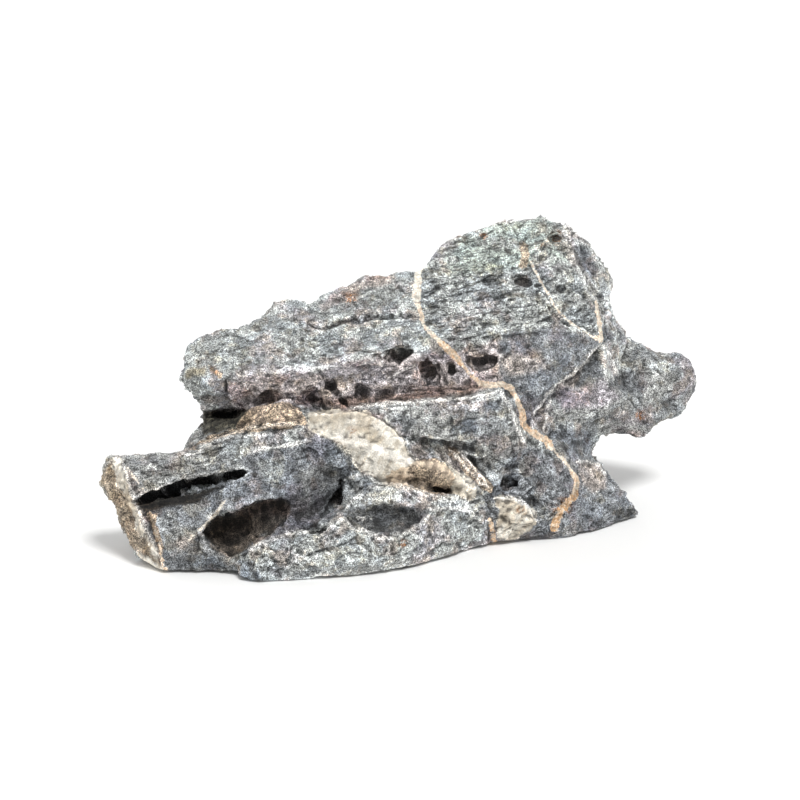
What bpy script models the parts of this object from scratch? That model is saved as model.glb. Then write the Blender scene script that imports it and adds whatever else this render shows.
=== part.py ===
"""A seiryu stone for an aquarium layout: one natural piece of grey limestone.

The stone is described as it is seen from its show side. A place on it is (across, down, near):
across and down are picture units of that view, and near is millimetres towards the eye. The
show face and the back are two nets of break lines with these places, joined by a narrow wall.
The back is split along fracture planes, hollows are cut into both sides, and the skin is
weathered along the beds. At the end the whole is brought to LENGTH. Metres, with +Z up.
"""

import math

import bmesh
import bpy
import numpy as np
from mathutils import Matrix, Vector, geometry, noise
from mathutils.bvhtree import BVHTree

LENGTH = 0.2434           # real length of the stone, left tip to right tip

# The view that the show side is drawn in
VIEW_TILT = math.radians(16.0)    # the eye looks down by this angle
VIEW_CENTRE = 400.0               # middle of the picture, across and down
EYE_REACH = 0.8                   # from the eye to the plane where near is zero
UNITS_PER_SLOPE = 2000.0          # picture units for a ray that leaves the eye at 45 degrees
PLANE_HEIGHT = 0.054              # height above the ground of the middle of that plane

# Mesh sizes
VOXEL = 0.0012
SOFTENING = 2             # rounds of smoothing before weathering
TRIANGLES = 9200

# Edge of the stone as seen, clockwise from the tip of the upper nose
OUTLINE = [
    (183, 357, 15), (187, 346, 13), (200, 336, 11), (218, 331, 10), (250, 325, 8),
    (263, 316, 6), (277, 304, 4), (292, 301, 3), (304, 303, 3), (310, 308, 4),
    (322, 297, 2), (346, 285, 0), (367, 275, -3), (386, 276, -3), (413, 271, -6),
    (426, 266, -8), (440, 249, -12), (458, 236, -16), (480, 228, -18), (512, 219, -23),
    (525, 222, -24), (541, 217, -27), (562, 219, -29), (572, 225, -31), (581, 236, -33),
    (590, 250, -34), (606, 270, -36), (611, 284, -36), (609, 302, -35), (614, 320, -34),
    (625, 334, -34), (630, 343, -36), (641, 343, -38), (652, 352, -40), (675, 354, -43),
    (689, 360, -45), (697, 371, -46), (698, 384, -46), (693, 397, -46), (685, 409, -45),
    (663, 421, -42), (652, 426, -39), (648, 434, -37), (637, 436, -35), (612, 431, -30),
    (600, 433, -26), (592, 443, -22), (592, 457, -20), (603, 468, -19), (609, 481, -19),
    (628, 500, -22), (640, 515, -26), (634, 522, -25), (621, 530, -20), (603, 532, -14),
    (585, 536, -8), (560, 539, -2), (520, 540, 1), (494, 545, 5), (470, 550, 11),
    (449, 559, 19), (420, 566, 27), (380, 574, 35), (345, 577, 39), (292, 580, 42),
    (258, 583, 45), (240, 577, 43), (238, 571, 38), (215, 571, 34), (168, 574, 34),
    (157, 569, 32), (138, 556, 30), (128, 534, 28), (112, 498, 27), (100, 485, 26),
    (103, 467, 26), (110, 459, 26), (124, 457, 26), (160, 453, 25), (182, 450, 21),
    (186, 443, 18), (204, 424, 13), (200, 413, 13), (197, 400, 14), (187, 387, 15),
    (184, 376, 15),
]

# Break lines of the show face: ridges, ledges and the bottoms of its valleys
SHOW_LINES = {
    "brow": [
        (192, 374, 19), (208, 381, 23), (224, 375, 26), (250, 373, 28), (285, 371, 28),
        (318, 370, 27), (345, 361, 26), (368, 356, 25), (392, 349, 22), (418, 350, 20),
        (440, 345, 17), (470, 337, 12), (500, 334, 8), (530, 331, 4), (560, 327, -1),
        (588, 332, -7), (601, 340, -10),
    ],
    "face_low": [
        (206, 356, 19), (240, 353, 20), (285, 347, 19), (335, 337, 17), (385, 326, 14),
        (430, 315, 8), (470, 303, 3), (510, 296, -3), (550, 292, -9), (582, 306, -14),
    ],
    "face_high": [
        (228, 340, 14), (290, 322, 11), (345, 306, 7), (400, 294, 3), (450, 266, -7),
        (500, 246, -14), (545, 241, -21),
    ],
    "spine": [(570, 238, -28), (577, 258, -26), (585, 277, -23), (592, 292, -20), (598, 314, -15)],
    "spine_side": [(579, 247, -34), (588, 268, -32), (597, 288, -29), (604, 312, -25), (606, 328, -21)],
    "recess": [
        (206, 413, 10), (228, 411, 8), (248, 404, 11), (270, 397, 13), (300, 401, 12),
        (320, 408, 11), (345, 405, 11), (368, 399, 10), (400, 396, 9), (430, 392, 8),
        (458, 387, 8), (484, 383, 8), (508, 384, 6),
    ],
    "pit_band": [
        (250, 388, 22), (285, 388, 21), (318, 388, 19), (350, 382, 17), (380, 376, 15),
        (410, 373, 13), (440, 369, 11), (470, 361, 7), (500, 356, 5),
    ],
    "brown_lump": [(252, 417, 24), (266, 409, 24), (285, 405, 24), (303, 412, 22)],
    "slab_edge": [
        (130, 464, 30), (155, 461, 32), (190, 455, 32), (215, 446, 32), (250, 437, 32),
        (285, 433, 30), (312, 433, 28), (336, 438, 26),
    ],
    "cap_edge": [
        (119, 468, 28), (127, 482, 32), (134, 503, 34), (142, 522, 36), (151, 542, 37),
        (161, 562, 37),
    ],
    "slab_face": [(150, 480, 33), (190, 474, 33), (235, 463, 33), (275, 460, 31), (318, 464, 27)],
    "slab_low": [(170, 520, 37), (200, 510, 37), (238, 496, 36), (270, 490, 34), (292, 494, 31)],
    "slab_foot": [(180, 555, 38), (205, 558, 38), (228, 562, 38)],
    "foot_step": [(240, 566, 42), (243, 556, 42)],
    "foot_crest": [
        (252, 551, 44), (265, 546, 45), (290, 539, 44), (312, 533, 43), (341, 521, 40),
        (355, 531, 38), (380, 537, 36), (400, 538, 34), (411, 529, 33), (428, 519, 30),
        (433, 508, 28),
    ],
    "foot_belly": [(262, 566, 47), (300, 562, 47), (350, 560, 44), (400, 556, 37), (450, 540, 24)],
    "inlet": [(296, 520, 24), (318, 515, 20), (333, 505, 16), (343, 486, 16)],
    "boss_side": [(349, 522, 31), (350, 508, 27), (352, 497, 26)],
    "boss_top": [
        (362, 491, 27), (376, 488, 28), (400, 486, 27), (413, 490, 26), (433, 495, 25),
        (454, 501, 22), (471, 512, 19), (484, 523, 15), (489, 535, 10),
    ],
    "boss_mid": [(440, 520, 26), (465, 530, 19)],
    "vein_top": [(318, 414, 21), (338, 412, 21), (365, 414, 21), (386, 421, 21), (404, 431, 20)],
    "vein_ridge": [
        (346, 440, 25), (370, 446, 26), (395, 455, 26), (412, 462, 26), (436, 464, 25),
        (454, 475, 23), (473, 489, 18),
    ],
    "vein_low": [(352, 468, 22), (372, 474, 24), (392, 475, 24), (414, 477, 22), (440, 480, 20)],
    "vein_under": [(386, 481, 21), (400, 481, 19), (412, 484, 17), (434, 488, 15), (452, 491, 16)],
    "block_top": [(372, 409, 18), (400, 403, 19), (440, 401, 20), (480, 395, 20), (500, 391, 18)],
    "block_right": [(510, 405, 18), (516, 425, 18), (524, 446, 15), (519, 458, 13), (508, 462, 12)],
    "block_low": [(418, 436, 21), (445, 440, 21), (470, 446, 19), (488, 456, 16)],
    "block_mid": [(425, 418, 22), (455, 420, 22), (490, 418, 21)],
    "under_block": [
        (418, 440, 17), (445, 447, 15), (468, 453, 12), (484, 462, 10), (500, 470, 8),
        (522, 465, 6), (530, 450, 7), (523, 428, 8), (514, 402, 10),
    ],
    "layers": [(437, 452, 19), (455, 460, 18), (472, 474, 15), (488, 489, 12)],
    "lump": [(497, 496, 12), (515, 500, 12), (532, 511, 9), (537, 524, 7)],
    "lump_side": [(498, 520, 11), (513, 522, 11), (508, 534, 8)],
    "lump_back": [(512, 490, 5), (528, 500, 4), (543, 513, 2), (546, 528, 1)],
    "right_cheek": [(540, 462, 6), (556, 475, 5), (560, 495, 3), (553, 512, 3)],
    "cheek_groove": [(566, 466, 0), (575, 483, -3), (570, 503, -3), (562, 520, -1)],
    "toe": [(585, 478, -7), (593, 500, -9), (600, 518, -10)],
    "flank_top": [(515, 352, 6), (545, 350, 2), (575, 350, -4), (594, 350, -9)],
    "flank_low": [(505, 372, 8), (530, 375, 5), (552, 384, 1), (572, 370, -3), (588, 360, -7)],
    "flank_foot": [(520, 398, 8), (536, 402, 3), (530, 418, 6), (545, 436, 4)],
    "cleft": [
        (601, 346, -14), (597, 358, -16), (582, 374, -14), (566, 388, -11), (550, 399, -7),
        (541, 414, -3),
    ],
    "shoulder": [(606, 366, -13), (592, 382, -12), (575, 400, -9), (556, 416, -4)],
    "belly": [(615, 392, -17), (600, 408, -15), (580, 424, -12), (564, 442, -7)],
    "belly_low": [(625, 420, -27), (600, 426, -23), (582, 440, -18)],
    "arm_valley": [(628, 347, -37), (622, 362, -34), (621, 378, -29), (632, 396, -28), (643, 412, -33)],
    "arm_ridge": [(640, 366, -34), (662, 368, -37), (682, 374, -41)],
    "arm_low": [(652, 396, -35), (672, 396, -40)],
}

# Ledges of the back, in the same picture units, each a lip over a tuck
BACK_LINES = {
    "lip_high": [
        (232, 372, -16), (290, 352, -38), (360, 335, -56), (430, 315, -67), (500, 296, -71),
        (560, 290, -70), (606, 314, -64),
    ],
    "tuck_high": [
        (236, 392, -8), (295, 372, -26), (362, 353, -42), (432, 333, -53), (500, 314, -58),
        (560, 310, -58), (604, 334, -54),
    ],
    "lip_low": [
        (210, 436, -20), (262, 424, -44), (340, 404, -66), (430, 386, -78), (520, 366, -81),
        (600, 378, -77), (655, 392, -66),
    ],
    "tuck_low": [
        (212, 458, -12), (268, 446, -34), (345, 427, -54), (430, 410, -65), (520, 390, -69),
        (596, 402, -66),
    ],
    "foot_bulge": [
        (150, 510, -4), (240, 492, -34), (330, 474, -60), (430, 458, -76), (530, 446, -78),
        (584, 470, -62),
    ],
    "crown": [(420, 296, -44), (480, 262, -50), (545, 243, -52), (578, 262, -54)],
}
BACK_POINTS = [
    (180, 560, 0), (330, 505, -56), (430, 492, -72), (530, 482, -74), (240, 522, -34),
    (600, 505, -52), (300, 565, -10), (400, 558, -30), (500, 535, -56),
]
EDGE_WALL = 12.0      # thickness of the stone at its seen edge, in near units

# Hollows of the show face: place, then half width, half height and half depth in millimetres,
# how deep the middle lies under the surface, and the turn in the picture in degrees
HOLLOWS = {
    "cave_left": ((231, 531), (12.0, 8.6, 13.0), 2.0, 14),
    "cave_right": ((268, 518), (13.5, 6.8, 12.0), 2.0, 20),
    "crack_left": ((157, 494), (11.0, 1.6, 9.0), 1.0, 17),
    "crack_middle": ((190, 485), (14.0, 2.1, 12.0), 1.0, 15),
    "crack_right": ((222, 476), (11.5, 1.7, 10.0), 1.0, 15),
    "knob_shade": ((229, 414), (8.0, 2.6, 9.0), 2.0, -4),
    "recess_oval": ((398, 356), (6.2, 3.2, 6.0), 0.5, 16),
    "recess_drop": ((429, 373), (4.2, 6.6, 6.0), 0.5, 20),
    "recess_round": ((452, 371), (3.0, 3.2, 4.5), 0.0, 0),
    "recess_slot": ((482, 361), (7.2, 2.8, 5.0), 0.0, 12),
    "flute_mid": ((360, 391), (4.2, 3.2, 4.0), 0.0, -30),
    "flute_left": ((311, 396), (4.8, 4.8, 5.0), 0.0, 20),
    "flute_split": ((332, 385), (1.8, 8.0, 5.0), 0.0, 35),
    "mass_shade": ((441, 490), (5.0, 1.8, 6.0), 1.0, -14),
    "layer_gap": ((509, 483), (5.0, 2.4, 6.0), 1.0, -20),
    "scoop_side": ((340, 493), (2.6, 8.0, 6.0), 1.0, -12),
    "scoop_floor": ((318, 528), (5.2, 2.8, 4.0), 0.0, 12),
    "boss_hollow": ((388, 517), (16.0, 6.0, 7.0), 0.0, -2),
    "top_rust": ((556, 238), (4.0, 2.6, 4.0), 0.0, 10),
    "top_dark": ((522, 279), (5.2, 2.6, 4.0), 0.0, -25),
    "top_dark_left": ((491, 280), (5.0, 2.0, 3.5), 0.0, 8),
    "top_dark_right": ((562, 288), (4.8, 2.6, 4.0), 0.0, -10),
}

UNEVENNESS = 0.16

# Hollows of the other sides: middle, half sizes in metres and turn about the upright axis
BACK_HOLLOWS = {
    "back_cave": ((-0.018, 0.064, 0.040), (0.016, 0.012, 0.009), 12),
    "back_slot": ((0.042, 0.078, 0.062), (0.022, 0.010, 0.003), -6),
    "back_scoop": ((0.066, 0.072, 0.030), (0.012, 0.010, 0.010), 0),
    "back_low": ((-0.062, 0.034, 0.022), (0.014, 0.010, 0.006), 30),
    "back_high": ((0.020, 0.070, 0.090), (0.010, 0.008, 0.006), 10),
}

# Fracture planes of the back: a place on the plane, and its outward direction
FRACTURES = [
    ((-0.078, 0.014, 0.060), (-0.75, 0.62, 0.20)),
    ((-0.020, 0.060, 0.060), (-0.22, 0.93, 0.30)),
    ((0.050, 0.070, 0.098), (0.10, 0.72, 0.68)),
    ((0.102, 0.070, 0.050), (0.55, 0.83, -0.05)),
    ((0.030, 0.074, 0.020), (0.05, 0.86, -0.50)),
    ((-0.060, 0.030, 0.010), (-0.45, 0.62, -0.64)),
]

# Bedding and weathering. Each relief is how far it moves the skin, and each share is how much
# of it is left on the show face, whose own forms are drawn above.
BED_UP = (-0.10, -0.22, 0.97)     # across the beds
BED_PITCH = 0.0085                # from one bed to the next
BED_REACH = 0.075                 # how far a bed runs before it changes
BED_BEND, BED_BEND_SIZE = 0.004, 0.055
BED_RIPPLE, BED_RIPPLE_SIZE = 0.0012, 0.014
BED_SHARPNESS = 0.7               # under 1 makes the beds step
BED_RELIEF, BED_SHARE = 0.0016, 0.35
CHIP_SIZE, CHIP_RELIEF, CHIP_SHARE = 0.016, 0.0022, 0.4
CHIP_LEVEL = 0.45                 # distance from a chip's middle, in chip sizes, that stays put
CHIP_BEND, CHIP_BEND_SIZE = 0.003, 0.020
GRAIN_SIZE, GRAIN_RELIEF, GRAIN_SHARE = 0.007, 0.0009, 0.6
SEED = (3.7, 11.2, 5.9)

# Underside: places where the stone stands, (x, y) and radius, and its clearance elsewhere
FEET = [((-0.045, -0.050), 0.013), ((0.058, -0.006), 0.012), ((0.010, 0.048), 0.016)]
FOOT_DEPTH = 0.0008               # cut off each foot, to make it flat
EDGE_CLEARANCE = 0.0007
MIDDLE_CLEARANCE = 0.0050
LEAST_CLEARANCE = 0.0004
CLEARANCE_RISE = (0.002, 0.022)   # distances in from the ground line where it starts and ends
UNDERSIDE_RELIEF, UNDERSIDE_SIZE = 0.0014, 0.012
GROUND_LINE_DOWN = 515            # the outline below this is the ground line


def seen(across, down, near):
    """Point in metres of a place given in the show side's picture."""
    reach = EYE_REACH - near / 1000.0
    right = (across - VIEW_CENTRE) / UNITS_PER_SLOPE * reach
    up = (VIEW_CENTRE - down) / UNITS_PER_SLOPE * reach
    forward = near / 1000.0
    y = up * math.sin(VIEW_TILT) - forward * math.cos(VIEW_TILT)
    z = PLANE_HEIGHT + up * math.cos(VIEW_TILT) + forward * math.sin(VIEW_TILT)
    return Vector((right, y, z))


def net(outline, lines, points):
    """Triangles between an outline, break lines and single places, as places and faces."""
    places = list(outline)
    edges = [(i, (i + 1) % len(outline)) for i in range(len(outline))]
    for line in lines:
        first = len(places)
        places += line
        edges += [(first + i, first + i + 1) for i in range(len(line) - 1)]
    places += points
    flat = [Vector((across, -down)) for across, down, _ in places]
    rim = list(range(len(outline)))[::-1]
    inside_rim = 1
    flat_out, _, faces, made_from, _, _ = geometry.delaunay_2d_cdt(flat, edges, [rim], inside_rim, 0.01)
    known = [places[origins[0]] if origins else None for origins in made_from]
    if None in known:
        where = [tuple(flat_out[i]) for i, place in enumerate(known) if place is None]
        raise ValueError(f"break lines cross at {where}")
    return known, faces


def rough_body():
    """The stone before it is hollowed: the show face, the back and the wall between them."""
    bm = bmesh.new()
    front, front_faces = net(OUTLINE, SHOW_LINES.values(), [])
    back_edge = [(across, down, near - EDGE_WALL) for across, down, near in OUTLINE]
    back, back_faces = net(back_edge, BACK_LINES.values(), BACK_POINTS)
    front_verts = [bm.verts.new(seen(*place)) for place in front]
    back_verts = [bm.verts.new(seen(*place)) for place in back]
    for face in front_faces:
        bm.faces.new([front_verts[i] for i in face])
    for face in back_faces:
        bm.faces.new([back_verts[i] for i in reversed(face)])
    front_at = {place[:2]: vert for place, vert in zip(front, front_verts)}
    back_at = {place[:2]: vert for place, vert in zip(back, back_verts)}
    for here, after in zip(OUTLINE, OUTLINE[1:] + OUTLINE[:1]):
        ring = [front_at[here[:2]], front_at[after[:2]], back_at[after[:2]], back_at[here[:2]]]
        bm.faces.new(ring)
    bmesh.ops.recalc_face_normals(bm, faces=bm.faces)
    return bm


def split_back(bm):
    """Cuts the back along the fracture planes. Each cut is closed again by a flat face."""
    for place, direction in FRACTURES:
        cut = bmesh.ops.bisect_plane(bm, geom=bm.verts[:] + bm.edges[:] + bm.faces[:],
                                     plane_co=place, plane_no=direction, clear_outer=True)
        rim = [item for item in cut["geom_cut"] if isinstance(item, bmesh.types.BMEdge)]
        bmesh.ops.holes_fill(bm, edges=rim, sides=0)
        bmesh.ops.triangulate(bm, faces=[face for face in bm.faces if len(face.verts) > 4])


def new_object(name, bm, collection):
    mesh = bpy.data.meshes.new(name)
    bm.to_mesh(mesh)
    bm.free()
    obj = bpy.data.objects.new(name, mesh)
    collection.objects.link(obj)
    return obj


def lump(name, matrix, half_sizes, collection):
    """An uneven ball that hollows are cut with."""
    bm = bmesh.new()
    bmesh.ops.create_icosphere(bm, subdivisions=2, radius=1.0)
    for vert in bm.verts:
        uneven = 1.0 + UNEVENNESS * noise.noise(vert.co * 1.3 + Vector((len(name) * 7.0, 0, 0)))
        vert.co = matrix @ Vector([part * half * uneven for part, half in zip(vert.co, half_sizes)])
    cutter = new_object(name, bm, collection)
    cutter.hide_render = True
    cutter.display_type = "WIRE"
    return cutter


def make_cutters(body, collection):
    surface = BVHTree.FromObject(body, bpy.context.evaluated_depsgraph_get())
    eye = seen(VIEW_CENTRE, VIEW_CENTRE, EYE_REACH * 1000.0)
    right = Vector((1, 0, 0))
    towards = Vector((0, -math.cos(VIEW_TILT), math.sin(VIEW_TILT)))
    upward = towards.cross(right)
    view_axes = Matrix((right, upward, towards)).transposed().to_4x4()
    cutters = []
    for name, ((across, down), half_sizes, sunk, turn) in HOLLOWS.items():
        ray = (seen(across, down, 0) - eye).normalized()
        hit = surface.ray_cast(eye, ray)[0]
        middle = Matrix.Translation(hit + ray * sunk / 1000.0)
        matrix = middle @ view_axes @ Matrix.Rotation(math.radians(turn), 4, "Z")
        cutters.append(lump(name, matrix, [half / 1000.0 for half in half_sizes], collection))
    for name, (middle, half_sizes, turn) in BACK_HOLLOWS.items():
        matrix = Matrix.Translation(middle) @ Matrix.Rotation(math.radians(turn), 4, "Z")
        cutters.append(lump(name, matrix, half_sizes, collection))
    return cutters


def baked(obj):
    """Puts the shape that the object's modifiers give into its own mesh."""
    done = bpy.data.meshes.new_from_object(obj.evaluated_get(bpy.context.evaluated_depsgraph_get()))
    old = obj.data
    obj.modifiers.clear()
    obj.data = done
    bpy.data.meshes.remove(old)


def smooth_step(value, low, high):
    share = np.clip((value - low) / (high - low), 0.0, 1.0)
    return share * share * (3.0 - 2.0 * share)


def field(points, size, offset=0.0, octaves=1):
    """Smooth noise between about -1 and 1 at each point, with lumps of the given size."""
    start = Vector(SEED) + Vector((offset, -offset, offset * 0.5))
    scaled = points / size
    if octaves == 1:
        values = [noise.noise(Vector(point) + start) for point in scaled]
    else:
        values = [noise.fractal(Vector(point) + start, 0.9, 2.1, octaves) for point in scaled]
    return np.array(values)


def vertex_arrays(mesh):
    points = np.empty(len(mesh.vertices) * 3)
    mesh.vertices.foreach_get("co", points)
    normals = np.empty(len(mesh.vertices) * 3)
    mesh.vertices.foreach_get("normal", normals)
    return points.reshape(-1, 3), normals.reshape(-1, 3)


def weather(mesh):
    """Hard beds stand out, edges are chipped, and the skin is uneven."""
    points, normals = vertex_arrays(mesh)
    towards = np.array((0.0, -math.cos(VIEW_TILT), math.sin(VIEW_TILT)))
    show = smooth_step(normals @ towards, -0.15, 0.25)
    bed_up = np.array(BED_UP)
    height = points @ bed_up
    along = points - np.outer(height, bed_up)
    height = height + BED_BEND * field(points, BED_BEND_SIZE, 1.0)
    height = height + BED_RIPPLE * field(points, BED_RIPPLE_SIZE, 2.0)
    beds = field(np.outer(height / BED_PITCH, (0.0, 0.0, 1.0)) + along / BED_REACH, 1.0)
    beds = np.sign(beds) * np.abs(beds) ** BED_SHARPNESS
    steep = 1.3 - np.abs(normals @ bed_up)
    move = BED_RELIEF * beds * steep * (1.0 - show * (1.0 - BED_SHARE))
    bent = points + CHIP_BEND * field(points, CHIP_BEND_SIZE, 4.0)[:, None]
    nearest = np.array([noise.voronoi(Vector(place) + Vector(SEED))[0][0] for place in bent / CHIP_SIZE])
    move += CHIP_RELIEF * (CHIP_LEVEL - nearest) * (1.0 - show * (1.0 - CHIP_SHARE))
    grain = field(points, GRAIN_SIZE, 6.0, 3)
    move += GRAIN_RELIEF * grain * (1.0 - show * (1.0 - GRAIN_SHARE))
    mesh.vertices.foreach_set("co", (points + normals * move[:, None]).ravel())
    mesh.update()


def distance_to_line(points, line):
    """Distance in plan from each point to a line of corners."""
    best = np.full(len(points), np.inf)
    flat = points[:, :2]
    for start, end in zip(line, line[1:]):
        start = np.array(start)
        run = np.array(end) - start
        share = np.clip((flat - start) @ run / (run @ run), 0.0, 1.0)
        best = np.minimum(best, np.linalg.norm(flat - start - share[:, None] * run, axis=1))
    return best


def undercut(mesh):
    """Lifts the underside off the ground everywhere but at the feet."""
    points, _ = vertex_arrays(mesh)
    ground_line = [seen(*place)[:2] for place in OUTLINE if place[1] > GROUND_LINE_DOWN]
    inside = smooth_step(distance_to_line(points, ground_line), *CLEARANCE_RISE)
    rough = UNDERSIDE_RELIEF * field(points, UNDERSIDE_SIZE, 8.0, 2)
    clear = EDGE_CLEARANCE + MIDDLE_CLEARANCE * inside + rough * (0.3 + inside)
    clear = np.maximum(clear, LEAST_CLEARANCE)
    for middle, radius in FEET:
        reach = np.linalg.norm(points[:, :2] - np.array(middle), axis=1)
        foot = 1.0 - smooth_step(reach, radius * 0.75, radius * 1.3)
        clear = clear * (1.0 - foot) - FOOT_DEPTH * foot
    points[:, 2] = np.maximum(points[:, 2], clear)
    mesh.vertices.foreach_set("co", points.ravel())
    mesh.update()


def stone_material():
    material = bpy.data.materials.new("grey_limestone")
    material.use_nodes = True
    shader = material.node_tree.nodes["Principled BSDF"]
    shader.inputs["Base Color"].default_value = (0.26, 0.28, 0.30, 1.0)
    shader.inputs["Roughness"].default_value = 0.85
    shader.inputs["Metallic"].default_value = 0.0
    return material


def make_stone(stone_parts, cutter_parts):
    rough = rough_body()
    split_back(rough)
    stone = new_object("stone", rough, stone_parts)
    for cutter in make_cutters(stone, cutter_parts):
        hollow = stone.modifiers.new(cutter.name, "BOOLEAN")
        hollow.operation = "DIFFERENCE"
        hollow.solver = "EXACT"
        hollow.object = cutter
    remesh = stone.modifiers.new("even", "REMESH")
    remesh.mode = "VOXEL"
    remesh.voxel_size = VOXEL
    soften = stone.modifiers.new("soften", "SMOOTH")
    soften.factor = 0.5
    soften.iterations = SOFTENING
    baked(stone)
    weather(stone.data)
    undercut(stone.data)
    thin = stone.modifiers.new("thin", "DECIMATE")
    thin.ratio = TRIANGLES / (2 * len(stone.data.polygons))
    baked(stone)
    return stone


def cut_feet(stone, cutter_parts):
    """Cuts the feet flat where they meet the ground."""
    block = bmesh.new()
    bmesh.ops.create_cube(block, size=1.0, matrix=Matrix.Translation((0, 0, -0.5)))
    ground = new_object("ground_cutter", block, cutter_parts)
    ground.hide_render = True
    ground.display_type = "WIRE"
    cut = stone.modifiers.new("stand", "BOOLEAN")
    cut.operation = "DIFFERENCE"
    cut.solver = "EXACT"
    cut.object = ground
    baked(stone)


def set_down(stone):
    """Brings the stone to its real length, with the origin on the ground under its middle."""
    points, _ = vertex_arrays(stone.data)
    low, high = points.min(axis=0), points.max(axis=0)
    size = LENGTH / (high - low)[0]
    under_middle = Matrix.Translation((-(low[0] + high[0]) / 2, -(low[1] + high[1]) / 2, -low[2]))
    stone.data.transform(Matrix.Scale(size, 4) @ under_middle)


def main():
    for obj in list(bpy.data.objects):
        bpy.data.objects.remove(obj)
    stone_parts = bpy.data.collections.new("seiryu_stone")
    cutter_parts = bpy.data.collections.new("cutters")
    for collection in (stone_parts, cutter_parts):
        bpy.context.scene.collection.children.link(collection)
    stone = make_stone(stone_parts, cutter_parts)
    cut_feet(stone, cutter_parts)
    set_down(stone)
    stone.data.materials.clear()
    stone.data.materials.append(stone_material())


main()
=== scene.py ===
import math

import bpy
import numpy as np
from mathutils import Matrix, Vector, noise


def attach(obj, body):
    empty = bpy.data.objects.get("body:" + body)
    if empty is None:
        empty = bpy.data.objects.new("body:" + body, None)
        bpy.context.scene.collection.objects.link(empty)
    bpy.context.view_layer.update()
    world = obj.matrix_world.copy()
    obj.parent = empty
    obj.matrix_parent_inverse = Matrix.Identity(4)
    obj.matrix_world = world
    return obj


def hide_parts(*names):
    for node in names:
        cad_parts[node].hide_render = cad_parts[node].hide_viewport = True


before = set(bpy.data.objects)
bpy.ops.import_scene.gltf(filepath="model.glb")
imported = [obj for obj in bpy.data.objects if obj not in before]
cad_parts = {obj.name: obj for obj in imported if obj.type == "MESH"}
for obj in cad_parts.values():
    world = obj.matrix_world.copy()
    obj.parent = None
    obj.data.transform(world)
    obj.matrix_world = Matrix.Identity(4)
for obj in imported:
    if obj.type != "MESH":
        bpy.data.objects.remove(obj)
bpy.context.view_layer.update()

millimetre = 0.001

# The view of the show side. Places on the stone are named by (across, down) in an 800 x 800
# picture from here, and by how near they are in millimetres.
view = {
    "tilt": math.radians(16.0),                  # looking down
    "reach": 0.8,                                # eye to the plane where near is 0
    "aim": (-0.003966, -0.009999, 0.054),        # the middle of the picture, in that plane
    "lens": 90.0,
    "sensor": 36.0,
    "picture": 800,
    "nearest": 0.01, "farthest": 60.0,           # what the camera draws
}
toward = np.array((0.0, -math.cos(view["tilt"]), math.sin(view["tilt"])))
upward = np.array((0.0, math.sin(view["tilt"]), math.cos(view["tilt"])))
eye = np.array(view["aim"]) + toward * view["reach"]
perSlope = view["picture"] * view["lens"] / view["sensor"]     # picture units for a slope of 1
middle = view["picture"] / 2

# turns the middle of a cell into numbers that look like chance
scatter = np.array(((12.9, 39.3, 73.1), (78.2, 11.1, 26.9), (37.7, 83.1, 52.2)))


def toPicture(points):
    # where points in metres are seen: across, down, near
    away = points - eye
    depth = -(away @ toward)
    across = middle + away[:, 0] / depth * perSlope
    down = middle - (away @ upward) / depth * perSlope
    return across, down, (view["reach"] - depth) / millimetre


def linear(hexColour):
    # sRGB hex to the linear colour that the shader wants
    parts = [int(hexColour[i:i + 2], 16) / 255 for i in (1, 3, 5)]
    return [c / 12.92 if c <= 0.04045 else ((c + 0.055) / 1.055) ** 2.4 for c in parts]


def smooth(value, low, high):
    # 0 up to low and 1 from high on, with a soft rise between
    share = np.clip((value - low) / (high - low), 0.0, 1.0)
    return share * share * (3.0 - 2.0 * share)


def leaning(value, target, weight):
    # value at weight 0 and target at weight 1
    return value + (target - value) * weight


# The start of lumps, cells, chips and bedSteps only picks the stretch of the pattern, so that two
# patterns of one size don't lie on each other.
def lumps(points, size, start=0.0, octaves=1):
    # noise of about -1 to 1 with lumps of the given size in metres
    scaled = (points / size + (start, start * 1.7, start * 0.6)).tolist()
    if octaves == 1:
        return np.array([noise.noise(p) for p in scaled])
    return np.array([noise.fractal(p, 1.0, 2.0, octaves) for p in scaled])


def cells(points, size, start=0.0):
    # distance to the nearest cell middle, in cell sizes, and a number from 0 to 1 for the cell
    scaled = (points / size + (start, start * 1.3, start * 0.7)).tolist()
    found = [noise.voronoi(p) for p in scaled]
    first = np.array([f[0][0] for f in found])
    own = np.array([f[1][0] for f in found]) @ scatter[:, 0]
    return first, own - np.floor(own)


def alongLine(across, down, line):
    # distance in picture units to a line of corners, how much a point lies below (1) or above (-1)
    # the line, and how far along
    best = np.full(len(across), np.inf)
    below = np.zeros(len(across))
    share = np.zeros(len(across))
    runs = [math.dist(a, b) for a, b in zip(line, line[1:])]
    gone = 0.0
    for (ax, ay), (bx, by), run in zip(line, line[1:], runs):
        dx, dy = bx - ax, by - ay
        part = np.clip(((across - ax) * dx + (down - ay) * dy) / (run * run), 0.0, 1.0)
        right, under = across - ax - part * dx, down - ay - part * dy
        away = np.hypot(right, under)
        closer = away < best
        best = np.where(closer, away, best)
        below = np.where(closer, under / np.maximum(away, 1e-6), below)     # 0 on the line itself
        share = np.where(closer, (gone + part * run) / sum(runs), share)
        gone += run
    return best, below, share


def insideShape(across, down, corners):
    # signed distance in picture units to a closed shape, positive inside, and below as above
    ring = corners + corners[:1]
    away, below, _ = alongLine(across, down, ring)
    inside = np.zeros(len(across), bool)
    for (ax, ay), (bx, by) in zip(ring, ring[1:]):
        if ay != by:
            crosses = (ay > down) != (by > down)
            inside ^= crosses & (across < (bx - ax) * (down - ay) / (by - ay) + ax)
    return np.where(inside, away, -away), below


def edgeField(inside, span=10.0):
    # 0.5 on an edge and rising inwards, from a signed distance to it, over so many picture units
    return np.clip(0.5 + inside / span, 0.0, 1.0)


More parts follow.
